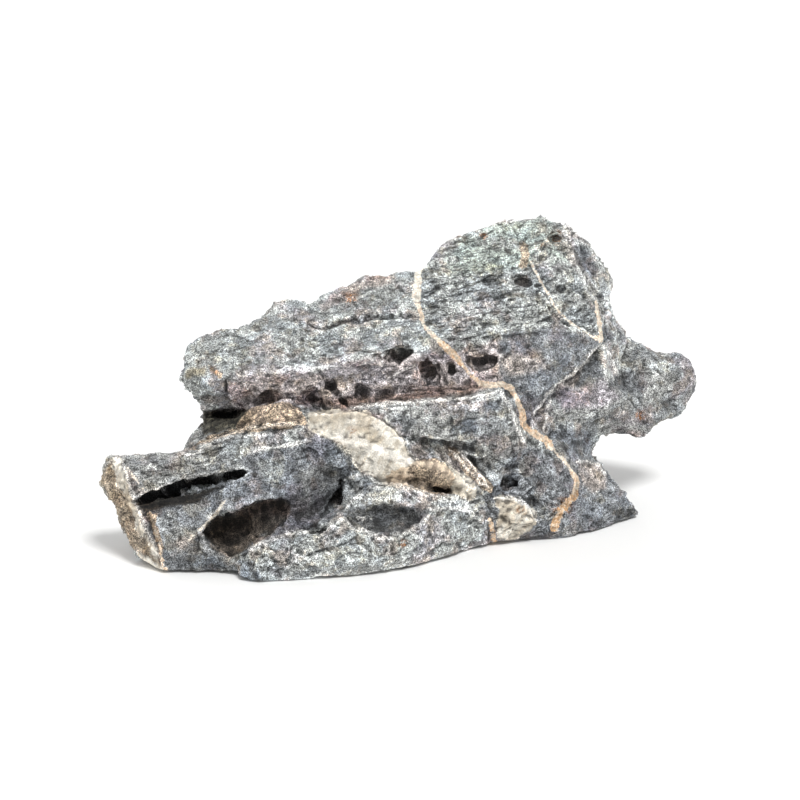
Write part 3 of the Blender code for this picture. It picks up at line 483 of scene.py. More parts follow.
# Thin cracks and the dark sides of ledges: line, width in picture units, depth in mm, and how dark
# their painted shade is.
cracks = {
    "lip": ([(310, 323), (315, 327), (326, 327), (333, 325), (341, 321), (351, 320), (361, 321),
        (366, 318), (380, 317), (395, 316), (410, 315), (421, 316)], 5.5, 1.4, 1.0),
    "topLip": ([(450, 243), (460, 241), (470, 240), (479, 238), (487, 233), (492, 231)], 3.5, 0.9, 0.8),
    "faceLine": ([(450, 291), (460, 288), (470, 285), (481, 282)], 2.5, 0.6, 0.7),
    "faceLineB": ([(432, 300), (446, 297), (470, 292), (500, 286)], 2.0, 0.4, 0.45),
    "faceLineC": ([(455, 318), (480, 313), (505, 312), (540, 310)], 2.0, 0.4, 0.4),
    "faceLineD": ([(462, 327), (490, 323), (520, 324), (545, 320)], 2.0, 0.4, 0.4),
    "faceLineE": ([(445, 272), (470, 268), (500, 268), (520, 270)], 1.8, 0.3, 0.35),
    "faceLineF": ([(300, 341), (330, 340), (360, 338), (390, 336)], 1.8, 0.3, 0.35),
    "faceLineG": ([(340, 331), (365, 330), (395, 326), (418, 326)], 1.8, 0.3, 0.35),
    "faceLineH": ([(210, 352), (235, 350), (262, 346)], 1.8, 0.3, 0.3),
    "fissureLine": ([(318, 371), (325, 379), (332, 388), (340, 398), (348, 407)], 5.5, 1.8, 1.0),
    "knob": ([(226, 381), (226, 390), (227, 398)], 4.0, 1.4, 0.75),
    "knobLow": ([(222, 396), (232, 402), (243, 408)], 3.0, 0.8, 0.5),
    "spine": ([(568, 239), (572, 247), (577, 255), (581, 265), (585, 275), (589, 284), (595, 293),
        (600, 298), (606, 322)], 7.0, 1.4, 0.75),
    "veinLeft": ([(539, 287), (545, 294), (551, 302)], 3.0, 0.9, 0.8),
    "veinLeftLow": ([(547, 306), (553, 312), (561, 319), (571, 326)], 3.5, 1.0, 0.8),
    "veinRight": ([(574, 322), (582, 326), (592, 331), (600, 336)], 2.5, 0.6, 0.6),
    "arc": ([(448, 431), (459, 423), (469, 419), (478, 418)], 2.5, 0.7, 0.75),
    "calciteEdge": ([(350, 409), (368, 413), (384, 420), (394, 428), (402, 436),
        (412, 440)], 2.5, 0.8, 0.6),
    "crackLedge": ([(138, 507), (150, 505), (165, 502), (190, 498), (212, 490),
        (230, 483)], 7.0, 0.8, 0.9),
    "seamLow": ([(204, 442), (222, 437), (240, 432), (262, 429), (284, 429), (304, 426)], 2.0, 0.6, 0.5),
    "seamTop": ([(232, 428), (246, 421), (262, 414), (274, 407)], 2.5, 0.7, 0.6),
    "seamRight": ([(292, 403), (300, 407), (308, 411)], 2.5, 0.8, 0.7),
    "recessFloor": ([(352, 404), (372, 401), (400, 399), (425, 397)], 2.0, 0.7, 0.6),
    "recessFloorB": ([(400, 392), (430, 389), (452, 389), (478, 387)], 2.5, 0.8, 0.65),
    "capEdge": ([(141, 515), (144, 528), (150, 540), (158, 551)], 2.0, 0.6, 0.6),
    "underLedge": ([(180, 501), (190, 503), (199, 501)], 2.0, 0.6, 0.8),
    "blockLow": ([(488, 456), (498, 462), (506, 464), (516, 458)], 2.5, 0.9, 0.7),
    "caveRim": ([(262, 541), (275, 536), (283, 530)], 2.5, 0.8, 0.7),
    "kneeLeft": ([(487, 520), (489, 532), (490, 544)], 2.5, 0.7, 0.5),
    "armEdge": ([(626, 394), (632, 402), (638, 410)], 2.5, 0.7, 0.6),
    "armEdgeB": ([(628, 342), (625, 352), (623, 364)], 2.5, 0.6, 0.5),
}

# Crisp pale ridges: line, width in picture units, height in mm, how pale. The pale is worn stone
# and painted highlight along the edges.
ridges = {
    "spinePale": ([(566, 224), (566, 240), (573, 256), (581, 272), (590, 290),
        (597, 300)], 9.0, 0.5, 0.3),
    "spineTop": ([(541, 219), (556, 218), (570, 224), (582, 236)], 4.0, 0.2, 0.5),
    "cleftEdge": ([(601, 345), (592, 354), (582, 366), (570, 377), (556, 386), (547, 395), (540, 405),
        (533, 414)], 2.2, 0.5, 0.8),
    "cleftLine": ([(551, 398), (548, 410), (544, 430)], 2.4, 0.4, 0.8),
    "cornerRib": ([(604, 345), (610, 356), (614, 368), (616, 376)], 2.6, 0.5, 0.8),
    "crestEdge": ([(228, 380), (250, 372), (285, 371), (320, 369), (345, 364), (366, 357),
        (384, 362)], 5.0, 0.3, 0.12),
    "recessRib": ([(360, 365), (372, 360), (384, 366)], 3.0, 0.5, 0.35),
    "recessRibB": ([(388, 380), (402, 371), (416, 364)], 3.0, 0.6, 0.45),
    "recessRibC": ([(340, 400), (346, 390), (350, 382)], 3.0, 0.5, 0.3),
    "seamRib": ([(210, 441), (232, 434), (256, 427), (284, 424), (304, 425)], 3.5, 0.9, 0.3),
    "seamRibB": ([(200, 446), (220, 440), (240, 436), (270, 434)], 3.0, 0.7, 0.4),
    "blockEdge": ([(350, 408), (380, 404), (420, 401), (460, 399), (498, 392)], 3.5, 0.6, 0.7),
    "blockCorner": ([(500, 391), (509, 404), (514, 416), (519, 432), (523, 446)], 3.5, 0.5, 0.6),
    "splintRib": ([(449, 449), (460, 460), (470, 471), (480, 482), (488, 488)], 3.0, 0.8, 0.6),
    "splintRibB": ([(456, 450), (466, 460), (478, 474), (488, 486)], 2.5, 0.6, 0.5),
    "capRim": ([(122, 458), (128, 480), (134, 500), (146, 530), (162, 562), (168, 572)], 3.0, 0.3, 0.6),
    "footCrest": ([(249, 552), (262, 544), (276, 538), (290, 533), (310, 532)], 5.0, 0.8, 0.4),
    "footCrestB": ([(325, 530), (334, 521), (344, 520), (352, 528), (366, 531), (380, 538), (396, 539),
        (410, 531), (424, 522), (431, 512)], 4.5, 0.8, 0.4),
    "bossCrest": ([(368, 488), (385, 484), (406, 486), (418, 491), (432, 495)], 4.5, 0.4, 0.4),
    "bossRim": ([(345, 508), (352, 500), (362, 494)], 3.0, 0.4, 0.4),
    "bossMark": ([(356, 517), (362, 519), (372, 518)], 2.5, 0.3, 0.5),
    "slabRidge": ([(254, 452), (262, 448), (285, 446), (310, 441)], 4.0, 0.4, 0.4),
    "slabLeftRim": ([(180, 452), (192, 457), (204, 448), (214, 442)], 2.5, 0.4, 0.5),
    "crackLip": ([(133, 497), (150, 491), (170, 484), (190, 477), (215, 473),
        (240, 468)], 2.5, 0.3, 0.35),
    "caveLip": ([(206, 520), (216, 511), (224, 506)], 2.5, 0.2, 0.5),
    "calciteRib": ([(338, 436), (350, 442), (366, 445), (380, 450), (394, 456), (406, 462),
        (414, 458)], 11.0, 0.2, 0.4),
    "scoopRim": ([(344, 480), (352, 476), (366, 474), (380, 484)], 3.0, 0.4, 0.4),
    "toeRidge": ([(576, 462), (590, 462), (602, 466), (606, 476)], 3.0, 0.4, 0.4),
    "knobRidge": ([(496, 498), (512, 498), (528, 507), (538, 522)], 3.0, 0.5, 0.5),
    "rightLump": ([(430, 510), (448, 508), (466, 510), (480, 520)], 4.0, 0.4, 0.4),
}

# How drawn lines run: over what share of their length each end thins out, how thick the tips stay,
# how much the width swings, and where their side starts and ends, counted in half widths.
lineForms = {
    "crack": {"taper": 0.15, "tip": 0.4, "swing": 0.5, "side": (0.3, 1.4)},
    "ridge": {"taper": 0.10, "tip": 0.5, "swing": 0.4, "side": (0.1, 1.5)},
}

skin = {
    "voxel": 0.00060,
    "softening": 3,
    "triangles": 197000,
    "bedUp": (-0.10, -0.22, 0.97),               # the layers lie a little down to the left and the front
    "bedBend": 0.0025, "bedBendSize": 0.045,
    # size of each kind of relief in metres, and how deep it goes
    "layer": 0.0016, "layerDepth": 0.00060,
    "ledge": 0.0052, "ledgeDepth": 0.0012,
    "crag": 0.0095, "cragDepth": 0.0015,
    "chip": 0.0038, "chipDepth": 0.00078,
    "flute": 0.0070, "fluteDepth": 0.0022,
    "rough": 0.0036, "roughDepth": 0.00075,
    "grit": 0.0015, "gritDepth": 0.00016,
    "nick": 0.0034, "nickDepth": 0.0009, "nickCrowd": 0.012,
    "warp": 0.0018, "warpSize": 0.007,           # bends the chips and flutes
    "cragPatch": 0.028, "layerPatch": 0.026, "flutePatch": 0.030,
    "frontCalm": 0.25,                           # the drawn side has this much less of all that
    "hollowShare": 0.75,                         # how much of a drawn hollow is shape; the rest is painted shade
    "bend": 1.6, "crackBend": 0.5,               # how far drawn edges stray, in picture units
    "bendSizeAcross": 0.0030, "bendSizeDown": 0.0032,
    "backHollow": 0.015, "backHollowDepth": 0.0022,
    "backEmpty": 0.58,                           # share of the back's cells that have no hollow
    "backBend": 0.002, "backBendSize": 0.006,
    "footHeight": 0.002,                         # the relief fades out below this, so the feet stay flat
}


def bedSteps(points, height, thickness, start):
    # -1 to 1, nearly the same along a layer and stepping from one layer to the next
    reach = 9.0                                  # a step runs on for about this many thicknesses
    gain, sharpness = 1.8, 0.6
    up = np.array(skin["bedUp"])
    flat = points - np.outer(points @ up, up)
    layered = np.outer(height / thickness, (0.0, 0.0, 1.0)) + flat / (thickness * reach) + start
    value = np.array([noise.noise(p) for p in layered.tolist()]) * gain
    return np.clip(np.sign(value) * np.abs(value) ** sharpness, -1.0, 1.0)


def chips(points, size, start):
    # flat facets tilted this way and that, as on broken stone, about -1 to 1
    scaled = points / size + start
    found = [noise.voronoi(p) for p in scaled.tolist()]
    middleOf = np.array([f[1][0] for f in found])
    own = np.array([f[0][0] for f in found])
    turn = np.sin(middleOf @ scatter)
    return np.einsum("ij,ij->i", scaled - middleOf, turn) - 0.15 * own


def faceShares(points, across, down, seen):
    # how craggy, layered and fluted the skin is at each point, drawn in front and left to chance elsewhere
    craggy = 0.75 + 0.5 * lumps(points, skin["cragPatch"], 13.0, 2)
    layered = smooth(lumps(points, skin["layerPatch"], 17.0), 0.05, 0.45)
    fluted = smooth(lumps(points, skin["flutePatch"], 19.0), 0.0, 0.4)
    for corners, _, edge, crag, layer, flute in faces.values():
        at = closeBy(across, down, corners)
        inside, _ = insideShape(across[at], down[at], corners)
        weight = smooth(inside, -edge, edge) * seen[at]
        craggy[at] = leaning(craggy[at], crag, weight)
        layered[at] = leaning(layered[at], layer, weight)
        fluted[at] = leaning(fluted[at], flute, weight)
    return craggy, layered, fluted


def lineShape(across, down, wobble, line, width, form):
    # share of a drawn line's full depth or height, and the field of its edge
    away, _, share = alongLine(across, down, line)
    ends = smooth(share, 0.0, form["taper"]) * smooth(1.0 - share, 0.0, form["taper"])
    half = width * 0.5 * leaning(form["tip"], 1.0, ends) * (1.0 + form["swing"] * wobble)
    return 1.0 - smooth(away / half, *form["side"]), edgeField(half - away)


def overlay(field, strength, at, newField, newStrength):
    # where drawn shapes overlap, a point takes its strength from the one that it lies deepest in
    deeper = newField > field[at]
    strength[at] = np.where(deeper, newStrength, strength[at])
    field[at] = np.maximum(field[at], newField)


def shadowShares(points, across, down, seen, reached):
    # how far the drawn shapes raise or sink the skin in metres, and fields for the painted shade of the
    # hollows and cracks and for the pale of the ridges, which is worn stone and painted highlight, with
    # how dark or how pale they are
    depth, dark, darkness, height, pale, paleness = np.zeros((6, len(points)))
    wobble = lumps(points, skin["bendSizeDown"], 7.0, 2)
    sideways = lumps(points, skin["bendSizeAcross"], 23.0, 2)
    bentAcross = across + skin["bend"] * sideways
    bentDown = down + skin["bend"] * wobble
    for name, (corners, deep, shoulder, amount) in hollows.items():
        at = closeBy(across, down, corners)
        bend = skin["crackBend"] if name == "longCrack" else skin["bend"]
        strayAcross, strayDown = across[at] + bend * sideways[at], down[at] + bend * wobble[at]
        inside, below = insideShape(strayAcross, strayDown, corners)
        width = shoulder * (1.0 - 0.6 * below)   # steep under its upper edge and gentle at its lower one
        sunk = deep * millimetre * skin["hollowShare"] * smooth(inside, -0.3 * width, width)
        depth[at] = np.maximum(depth[at], sunk * seen[at])
        overlay(dark, darkness, at, edgeField(inside) * reached[at], amount * (0.85 + 0.15 * below))
    for line, width, deep, amount in cracks.values():
        at = closeBy(across, down, line)
        shape, field = lineShape(bentAcross[at], bentDown[at], wobble[at], line, width, lineForms["crack"])
        depth[at] = np.maximum(depth[at], deep * millimetre * shape * seen[at])
        overlay(dark, darkness, at, field * reached[at], amount)
    for line, width, tall, amount in ridges.values():
        at = closeBy(across, down, line)
        shape, field = lineShape(bentAcross[at], bentDown[at], wobble[at], line, width, lineForms["ridge"])
        height[at] = np.maximum(height[at], tall * millimetre * shape * seen[at])
        overlay(pale, paleness, at, field * reached[at], amount)
    return height - depth, dark, darkness, pale, paleness


def backHollows(points, seen):
    # hollows like the drawn ones, wider than high, scattered over the sides that the drawing doesn't
    # show: their depth in metres, their field and how dark their painted shade is
    bent = points * (1.0, 1.0, 1.6) + skin["backBend"] * lumps(points, skin["backBendSize"], 2.0)[:, None]
    first, own = cells(bent, skin["backHollow"], 1.0)
    chosen = (own > skin["backEmpty"]) * (1.0 - seen)
    reach = 0.16 + 0.2 * (own - skin["backEmpty"]) / (1.0 - skin["backEmpty"])     # in cell sizes
    field = edgeField(reach - first, 0.5) * chosen
    return smooth(field, 0.42, 0.75) * skin["backHollowDepth"], field, chosen * (0.35 + 0.6 * own)


def sculpt(stone):
    points, normals = readPoints(stone.data)
    across, down, _ = toPicture(points)
    seen, reached = seenShare(points, normals)
    craggy, layered, fluted = faceShares(points, across, down, seen)
    up = np.array(skin["bedUp"])
    height = points @ up + skin["bedBend"] * lumps(points, skin["bedBendSize"], 3.1)
    square = np.sqrt(np.maximum(1.0 - (normals @ up) ** 2, 0.0))     # 1 on a face square to the layers
    warp = np.stack([lumps(points, skin["warpSize"], start, 2) for start in (2.0, 4.0, 6.0)], axis=1)
    bent = points + skin["warp"] * warp

    move = skin["layerDepth"] * bedSteps(points, height, skin["layer"], 11.0) * square * layered
    ledges = bedSteps(points, height, skin["ledge"], 5.0) * square * (0.25 + 0.75 * layered)
    move += skin["ledgeDepth"] * ledges
    move += skin["cragDepth"] * chips(bent, skin["crag"], 1.0) * craggy
    move += skin["chipDepth"] * chips(bent, skin["chip"], 9.0) * craggy
    first, own = cells(bent * (1.0, 1.0, 0.62), skin["flute"], 4.0)                 # higher than wide
    bowl = 1.6 * np.minimum(first, 0.8) ** 2 - 0.45
    move += skin["fluteDepth"] * bowl * (0.5 + 0.8 * own) * fluted
    move += skin["roughDepth"] * lumps(points, skin["rough"], 6.0, 4) * (0.2 + 0.8 * craggy)
    move += skin["gritDepth"] * lumps(points, skin["grit"], 8.0, 2)

    along = np.stack([points[:, 0], points[:, 1], height * 2.2], axis=1)            # nicks follow the layers
    nick = smooth(lumps(along, skin["nick"], 27.0, 2), 0.12, 0.45)
    crowd = smooth(lumps(points, skin["nickCrowd"], 33.0, 2), -0.35, 0.35)
    move -= skin["nickDepth"] * nick * crowd * (0.25 + 0.75 * np.clip(craggy * 2.0, 0.0, 1.0))
    move *= 1.0 - skin["frontCalm"] * seen

    drawn, *_ = shadowShares(points, across, down, seen, reached)
    sunk, *_ = backHollows(points, seen)
    move += drawn - sunk
    move *= smooth(points[:, 2], 0.0, skin["footHeight"])
    moved = points + normals * move[:, None]
    moved[:, 2] = np.maximum(moved[:, 2], 0.0)   # nothing goes below the ground
    writePoints(stone.data, moved)


def makeStone():
    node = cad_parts["stone"]
    stone = node.copy()
    stone.data = node.data.copy()
    stone.name = "seiryuStone"
    bpy.context.scene.collection.objects.link(stone)
    stone.data.materials.clear()
    applied(stone, "WELD", merge_threshold=0.00001)
    applied(stone, "REMESH", mode="VOXEL", voxel_size=skin["voxel"])
    applied(stone, "SMOOTH", factor=0.5, iterations=skin["softening"])
    print("stone: even skin of", len(stone.data.vertices), "points,", len(stone.data.polygons), "faces")
    sculpt(stone)
    fourCornered = len(stone.data.polygons)      # each counts as two triangles
    applied(stone, "DECIMATE", ratio=skin["triangles"] / (2 * fourCornered))
    stone.data.shade_smooth()
    print("stone: sculpted,", len(stone.data.polygons), "triangles")
    return stone


# What is only colour, drawn in the same way: the tones where no face is drawn, patches of calcite and
# of tan clay, veins with their line, width and warmth, which run on through the stone, and rust
# with its middle and radius.
marks = {
    "plain": "slate",
    "back": ["grey", "light", "slate", "warm", "grey"],
    "calcite": {
        "mass": [(308, 412), (345, 409), (366, 412), (384, 420), (394, 429), (404, 440), (412, 452),
            (412, 460), (440, 462), (458, 477), (482, 492), (470, 500), (452, 494), (452, 484),
            (440, 470), (405, 466), (380, 470), (352, 458), (345, 446), (330, 440), (308, 430)],
        "low": [(352, 440), (400, 452), (410, 468), (408, 484), (384, 484), (362, 470), (350, 458)],
        "cream": [(455, 470), (470, 476), (482, 490), (472, 496), (458, 492)],
        "knob": [(494, 496), (515, 499), (534, 510), (538, 524), (530, 534), (508, 541), (496, 538),
            (498, 515)],
        "capRim": [(110, 459), (120, 459), (130, 495), (147, 535), (168, 572), (160, 571), (138, 530),
            (124, 495)],
        "capFoot": [(136, 552), (156, 560), (164, 573), (146, 566)],
    },
    "tan": {
        "underMass": [(408, 466), (420, 458), (438, 459), (452, 470), (456, 484), (450, 494), (430, 492),
            (412, 488), (388, 484), (384, 476)],
        "seam": [(190, 448), (210, 436), (235, 427), (245, 410), (262, 404), (285, 399), (303, 410),
            (307, 425), (285, 430), (262, 429), (235, 434), (210, 442), (194, 450)],
        "splinters": [(446, 446), (462, 454), (494, 486), (490, 494), (470, 478), (450, 458)],
        "capSide": [(148, 510), (156, 514), (166, 570), (160, 566), (152, 530)],
        "knobStreak": [(512, 503), (518, 503), (528, 514), (524, 518)],
        "topPatch": [(520, 240), (530, 242), (528, 270), (520, 268)],
        "knobSpots": [(207, 366), (222, 372), (220, 378), (210, 374)],
    },
    "veins": {
        "mainTop": ([(421, 262), (419, 270), (417, 285), (416, 300)], 7.5, 0.05),
        "mainMid": ([(416, 300), (420, 310), (424, 326), (432, 334), (441, 343)], 4.6, 0.35),
        "mainLow": ([(441, 343), (450, 351), (460, 362)], 6.5, 0.8),
        "mainEnd": ([(460, 362), (470, 374), (482, 385)], 4.2, 0.6),
        "lowA": ([(480, 384), (490, 386), (501, 384), (511, 388), (517, 399), (521, 410)], 5.5, 0.5),
        "lowB": ([(521, 410), (524, 424), (532, 432), (545, 440), (549, 445)], 7.0, 0.75),
        "lowC": ([(549, 445), (557, 453), (566, 463), (573, 473)], 2.8, 0.3),
        "lowD": ([(573, 473), (577, 484), (576, 495)], 5.0, 0.6),
        "lowE": ([(576, 495), (567, 503), (559, 513), (554, 528)], 8.0, 0.95),
        "thin": ([(531, 262), (533, 268), (537, 275), (543, 285), (548, 293), (552, 303), (560, 313),
            (568, 321), (580, 329), (592, 336), (601, 341)], 2.3, 0.2),
        "crossUp": ([(601, 341), (599, 320), (597, 312), (596, 302)], 3.6, 0.35),
        "hairA": ([(127, 468), (135, 478), (146, 492)], 2.4, 0.2),
        "hairB": ([(150, 510), (155, 530), (160, 550), (166, 570)], 3.0, 0.6),
        "hairC": ([(224, 500), (219, 510), (208, 522), (195, 535), (182, 547)], 2.6, 0.1),
        "knobVein": ([(489, 520), (492, 530), (495, 542)], 4.0, 0.8),
    },
    "rust": [(556, 238, 9), (541, 246, 5), (215, 372, 6), (403, 543, 6), (562, 506, 11), (640, 416, 8),
        (350, 298, 8), (484, 235, 5), (354, 430, 5), (520, 510, 5)],
}


# How the drawn colours run on. Bends are in picture units, sizes in metres.
patina = {
    "bend": 3.0, "bendSize": 0.005,              # how far the edges of colours stray
    "veinBend": 0.4,                             # share of that by which veins stray
    "swingSize": 0.0045,                         # of the swings in the width of veins and rust
    "backPatch": 0.026, "backRust": 0.016,
    "backStain": 0.042, "backStainBend": 0.004, "backStainBendSize": 0.012,
    "fine": (3, 0.0008), "broad": (40, 0.006),   # rounds of evening out, and the relief that counts as full
}


def paint(stone):
    # colours and marks go on the finished mesh, as attributes that the material reads
    mesh = stone.data
    points, normals = readPoints(mesh)
    across, down, _ = toPicture(points)
    seen, reached = seenShare(points, normals)
    hidden = 1.0 - reached
    bentAcross = across + patina["bend"] * lumps(points, patina["bendSize"], 41.0, 2)
    bentDown = down + patina["bend"] * lumps(points, patina["bendSize"], 51.0, 2)

    _, layered, _ = faceShares(points, across, down, seen)
    tint = np.tile(linear(tones[marks["plain"]]), (len(points), 1))
    pick = lumps(points, patina["backPatch"], 61.0, 2)
    for number, shade in enumerate(marks["back"]):
        weight = smooth(np.sin(pick * 5.0 + number * 1.7), 0.2, 0.9)[:, None]
        tint = leaning(tint, np.array(linear(tones[shade])), weight)
    for corners, shade, edge, *_ in faces.values():
        at = closeBy(across, down, corners)
        inside, _ = insideShape(bentAcross[at], bentDown[at], corners)
        weight = (smooth(inside, -edge * 0.6, edge * 0.6) * reached[at])[:, None]
        tint[at] = leaning(tint[at], np.array(linear(tones[shade])), weight)

    def patches(shapes):
        best = np.zeros(len(points))
        for corners in shapes.values():
            at = closeBy(across, down, corners)
            inside, _ = insideShape(bentAcross[at], bentDown[at], corners)
            best[at] = np.maximum(best[at], edgeField(inside, 12.0) * reached[at])
        return best

    # on the sides that the drawing doesn't show, a few cells have clay or calcite in their middle
    bent = points + patina["backStainBend"] * lumps(points, patina["backStainBendSize"], 71.0, 2)[:, None]
    first, own = cells(bent, patina["backStain"], 6.0)
    behindTan = np.clip(0.75 - first * 1.1, 0.0, 1.0) * (own > 0.72) * hidden
    behindCalcite = np.clip(0.75 - first * 1.3, 0.0, 1.0) * (own < 0.14) * hidden
    tan = np.maximum(patches(marks["tan"]), behindTan)
    calcite = np.maximum(patches(marks["calcite"]), behindCalcite)

    swing = lumps(points, patina["swingSize"], 31.0, 3)
    veinAcross = leaning(across, bentAcross, patina["veinBend"])
    veinDown = leaning(down, bentDown, patina["veinBend"])
    vein, warm, rust = np.zeros((3, len(points)))
    for line, width, warmth in marks["veins"].values():
        away, _, _ = alongLine(veinAcross, veinDown, line)
        here = edgeField(width * 0.5 * (1.0 + 0.4 * swing) - away)
        overlay(vein, warm, slice(None), here, warmth)
    for x, y, radius in marks["rust"]:
        far = np.hypot(across - x, down - y) / radius
        rust = np.maximum(rust, (1.0 - smooth(far + 0.5 * swing, 0.3, 1.2)) * seen)
    behindRust = smooth(lumps(points, patina["backRust"], 81.0, 2), 0.42, 0.7) * hidden
    rust = np.maximum(rust, 0.8 * behindRust)

    # painted shade of the hollows and cracks, and the ridges' pale of wear and painted highlight
    _, dark, darkness, pale, paleness = shadowShares(points, across, down, seen, reached)
    _, backDark, backDarkness = backHollows(points, seen)
    overlay(dark, darkness, slice(None), backDark, backDarkness)

    def proud(rounds, full):
        # how far the skin stands out of (above 0.5) or lies under its own evened out shape
        even = np.stack([spread(mesh, points[:, i], rounds) for i in range(3)], axis=1)
        return np.clip(0.5 + np.einsum("ij,ij->i", points - even, normals) / full, 0.0, 1.0)

    def store(name, *parts):
        layer = mesh.color_attributes.new(name, "FLOAT_COLOR", "POINT")
        layer.data.foreach_set("color", np.stack(parts, axis=1).astype(np.float32).ravel())
    store("tint", tint[:, 0], tint[:, 1], tint[:, 2], layered)
    store("marks", vein, calcite, tan, warm)
    # the fine and broad relief, which the material turns into painted shade in pits and painted highlight on
    # edges, then rust
    store("form", proud(*patina["fine"]), proud(*patina["broad"]), rust, np.ones(len(points)))
    store("shade", dark, darkness, pale, paleness)
    print("stone: painted")


def addNode(tree, kind, settings, *inputs):
    # A node with its settings. The inputs fill the sockets that these leave open, in their order:
    # each is a value, a node or socket that it is linked from, or None to leave it as it is.
    node = tree.nodes.new("ShaderNode" + kind)
    for name, value in settings.items():
        setattr(node, name, value)
    openSockets = [socket for socket in node.inputs if socket.enabled]
    for socket, value in zip(openSockets, inputs):
        if isinstance(value, bpy.types.Node):
            value = next(output for output in value.outputs if output.enabled)
        if isinstance(value, bpy.types.NodeSocket):
            tree.links.new(value, socket)
        elif value is not None:
            socket.default_value = value
    return node


# Sizes are in millimetres. The real grit is a tenth of one: grit and salt are drawn coarser, so
# that they show from here.
limestone = {
    "patterns": {                                # size, detail and roughness of each noise
        "mottle": (6.5, 5.0, 0.60), "fleck": (1.6, 5.0, 0.72),
        "grit": (0.85, 1.0, 0.60), "salt": (0.46, 0.0, 0.50),
        "patch": (5.8, 3.0, 0.55), "whiteness": (12.0, 2.0, 0.50),
    },
    "drawnOut": {                                # sizes along three axes, how these are turned in degrees
        "bedLine": ((6.0, 6.0, 1.0), (12.0, -6.0, 0.0), 3.0, 0.65),
        "hairLine": ((9.0, 9.0, 0.8), (12.0, -6.0, 0.0), 2.0, 0.60),
        # calcite grows as fibres across its vein, 1 to 2 mm thick and several long
        "fibre": ((1.8, 3.0, 9.0), (0.0, 22.0, 0.0), 3.0, 0.60),
    },
    "washes": [                                  # size, detail, roughness, from, to, strength, colour
        (11.0, 3.0, 0.60, 0.46, 0.60, 0.9, "#eaeef4"),
        (7.0, 4.0, 0.65, 0.50, 0.62, 0.8, "#fbf3e2"),
        (14.0, 3.0, 0.60, 0.50, 0.62, 0.8, "#f3e9f1"),
    ],
    "swings": {                                  # how much a noise swings the brightness, and its least
        "salt": (3.9, 0.3), "grit": (0.9, 0.3), "fleck": (0.55, 0.12), "mottle": (0.9, 0.12),
    },
    "colours": {
        "calciteDull": "#c0b6a5", "calciteWhite": "#ebe6db", "calciteFibre": "#b9aa93",
        "clayDark": "#8a7866", "clayPale": "#c0ab91", "rust": "#94653c", "wornEdgeAndHighlight": "#e4e1dc",
        "veinWhite": "#f8f4e8", "veinOchre": "#cc9f6c", "veinStain": "#bd9166",
    },
    "roughness": (0.72, 0.92), "ior": 1.5,
    "bumpStrength": 0.75, "bumpDepth": 0.9,
}


